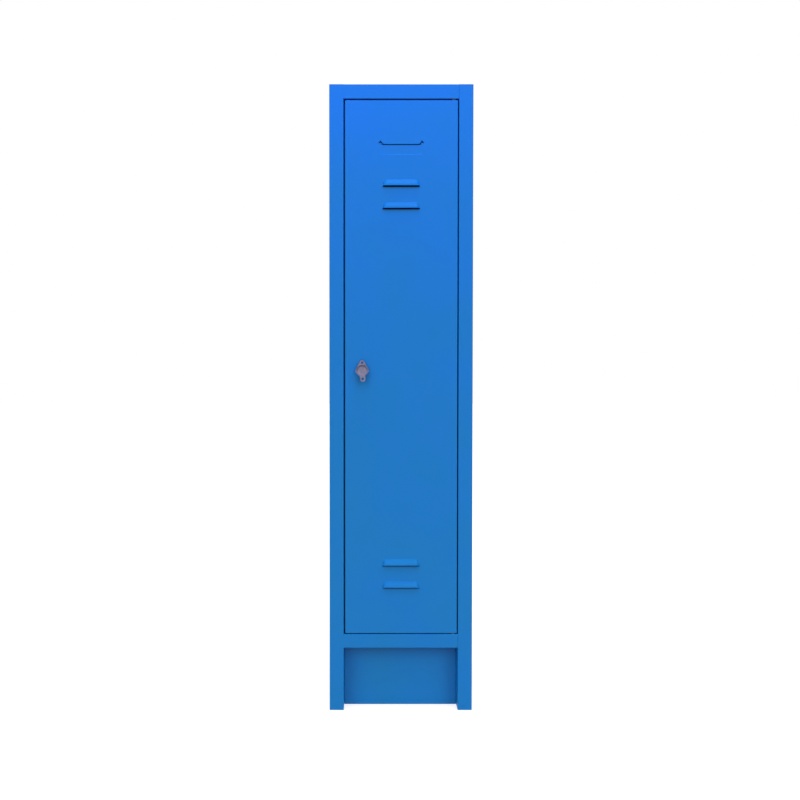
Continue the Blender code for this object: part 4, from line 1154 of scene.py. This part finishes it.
def rivets():
    """The rivets of the shelf brackets and the smaller ones of the rail sockets."""
    start, end = BRACKET_SPAN
    line = BRACKET_TOP - RIVET_DROP
    for name, side in SIDES.items():
        leg, flange = side * (INNER_HALF - ANGLE_SHEET), side * (INNER_HALF - SOCKET_FLANGE[1])
        places = [(leg, y, line) for y in (start + RIVET_INSET, (start + end) / 2, end - RIVET_INSET)]
        rivet_row(name, "shelf_bracket", places, (-side, 0, 0), 1.0)
        places = [(flange, RAIL_Y, RAIL_Z + up * SOCKET_RIVET) for up in (-1, 1)]
        rivet_row(name, "rail_socket", places, (-side, 0, 0), SMALL_RIVET)


for name, side in SIDES.items():
    side_sheet(name, side)
roof_and_floor()
joint_welds()
kick_sheet()
door_skin()
stiffener()
shelf()
angles()
buffers()
pivots()
lock_casting()
lock_fixings()
turning_knob()
cam_and_screw()
coat_rail()
for name, side in SIDES.items():
    rail_socket(name, side)
coat_hooks()
rivets()


def studio_room():
    """The world: plain white to the camera, and to all else a dim room with a broad window behind the
    camera and a bright wall behind the locker."""
    world = bpy.data.worlds.new("studio")
    bpy.context.scene.world = world
    world.use_nodes = True
    tree = world.node_tree
    tree.nodes.clear()
    ray = add_node(tree, "ShaderNodeTexCoord").outputs["Generated"]
    way = add_node(tree, "ShaderNodeSeparateXYZ", {"Vector": ray}).outputs

    def share(axis, limits):
        """Goes from 0 to 1 between two limits of the way that a ray takes along an axis."""
        span = {"Value": way[axis], "From Min": limits[0], "From Max": limits[1]}
        return add_node(tree, "ShaderNodeMapRange", span).outputs["Result"]

    window = share("Z", WINDOW_RISE)
    for axis, limits in (("Z", WINDOW_FALL), ("Y", WINDOW_SIDES)):
        pair = {0: share(axis, limits), 1: window}
        window = add_node(tree, "ShaderNodeMath", pair, operation="MINIMUM").outputs["Value"]
    front = blended(tree, window, CEILING_TINT, WINDOW_COLOUR)
    colour = blended(tree, share("Y", BACK_SIDES), front, WHITE)
    room = add_node(tree, "ShaderNodeBackground", {"Color": colour, "Strength": 1.0}).outputs["Background"]
    plain = add_node(tree, "ShaderNodeBackground", {"Color": WHITE, "Strength": 1.0}).outputs["Background"]
    eye = add_node(tree, "ShaderNodeLightPath").outputs["Is Camera Ray"]
    both = add_node(tree, "ShaderNodeMixShader", {0: eye, 1: room, 2: plain}).outputs["Shader"]
    add_node(tree, "ShaderNodeOutputWorld", {"Surface": both})


def seen_rays(tree):
    """One for the rays that show a surface to the eye, straight, in a reflection or through glass."""
    path = add_node(tree, "ShaderNodeLightPath").outputs
    seen = path["Is Camera Ray"]
    for ray in ("Is Glossy Ray", "Is Transmission Ray"):
        seen = add_node(tree, "ShaderNodeMath", {0: seen, 1: path[ray]}, operation="MAXIMUM").outputs["Value"]
    return seen


def studio_floor():
    """Pale paper that keeps the locker's shadow, and is lifted to white where the eye sees it."""
    floor = begin("plane", "floor", size=FLOOR_SIZE)
    hold(floor)
    paper = bpy.data.materials.new("white floor paper")
    paper.use_nodes = True
    paper.cycles.emission_sampling = "NONE"
    tree = paper.node_tree
    tree.nodes.clear()
    matt = add_node(tree, "ShaderNodeBsdfDiffuse", {"Color": FLOOR_COLOUR}).outputs["BSDF"]
    lift = add_node(tree, "ShaderNodeMath", {0: seen_rays(tree), 1: FLOOR_LIFT}, operation="MULTIPLY")
    glow = add_node(tree, "ShaderNodeEmission", {"Color": WHITE, "Strength": lift.outputs["Value"]})
    both = add_node(tree, "ShaderNodeAddShader", {0: matt, 1: glow.outputs["Emission"]})
    add_node(tree, "ShaderNodeOutputMaterial", {"Surface": both.outputs["Shader"]})
    floor.data.materials.append(paper)


def add_sun(name, rise, side, spread, power):
    """A broad white light from the front, from a height and a side given as angles, that no surface
    mirrors."""
    bpy.ops.object.light_add(type="SUN", location=SUN_PLACE, rotation=(math.pi / 2 - rise, 0.0, side))
    sun = bpy.context.object
    sun.name = name
    sun.data.energy, sun.data.angle = power, spread
    sun.visible_glossy = False


def studio_lights():
    """A key light from each side, a ceiling light, and a violet-blue soft box near the top of the door."""
    for name, side in SIDES.items():
        add_sun(f"{name} key light", KEY_RISE, side * KEY_SIDE, KEY_SPREAD, KEY_POWER)
    add_sun("ceiling light", CEILING_RISE, 0.0, CEILING_SPREAD, CEILING_POWER)
    bpy.ops.object.light_add(type="AREA", location=BOX_PLACE)
    box = bpy.context.object
    box.name = "soft box"
    box.data.shape = "RECTANGLE"
    box.data.size, box.data.size_y = BOX_SIZE
    box.data.energy, box.data.color = BOX_POWER, BOX_COLOUR
    box.visible_glossy = box.visible_camera = False
    box.rotation_euler = (Vector(BOX_AIM) - Vector(BOX_PLACE)).to_track_quat("-Z", "Y").to_euler()


def camera():
    """A standing viewer's camera, a little left of the middle, tipped slightly down."""
    bpy.ops.object.camera_add(location=CAMERA_PLACE, rotation=CAMERA_TURN)
    eye = bpy.context.object
    eye.data.lens = LENS
    eye.data.sensor_width = SENSOR_WIDTH
    eye.data.shift_x = CAMERA_SHIFT
    bpy.context.scene.camera = eye


studio_room()
studio_floor()
studio_lights()
camera()
bpy.context.scene.view_settings.view_transform = "Standard"
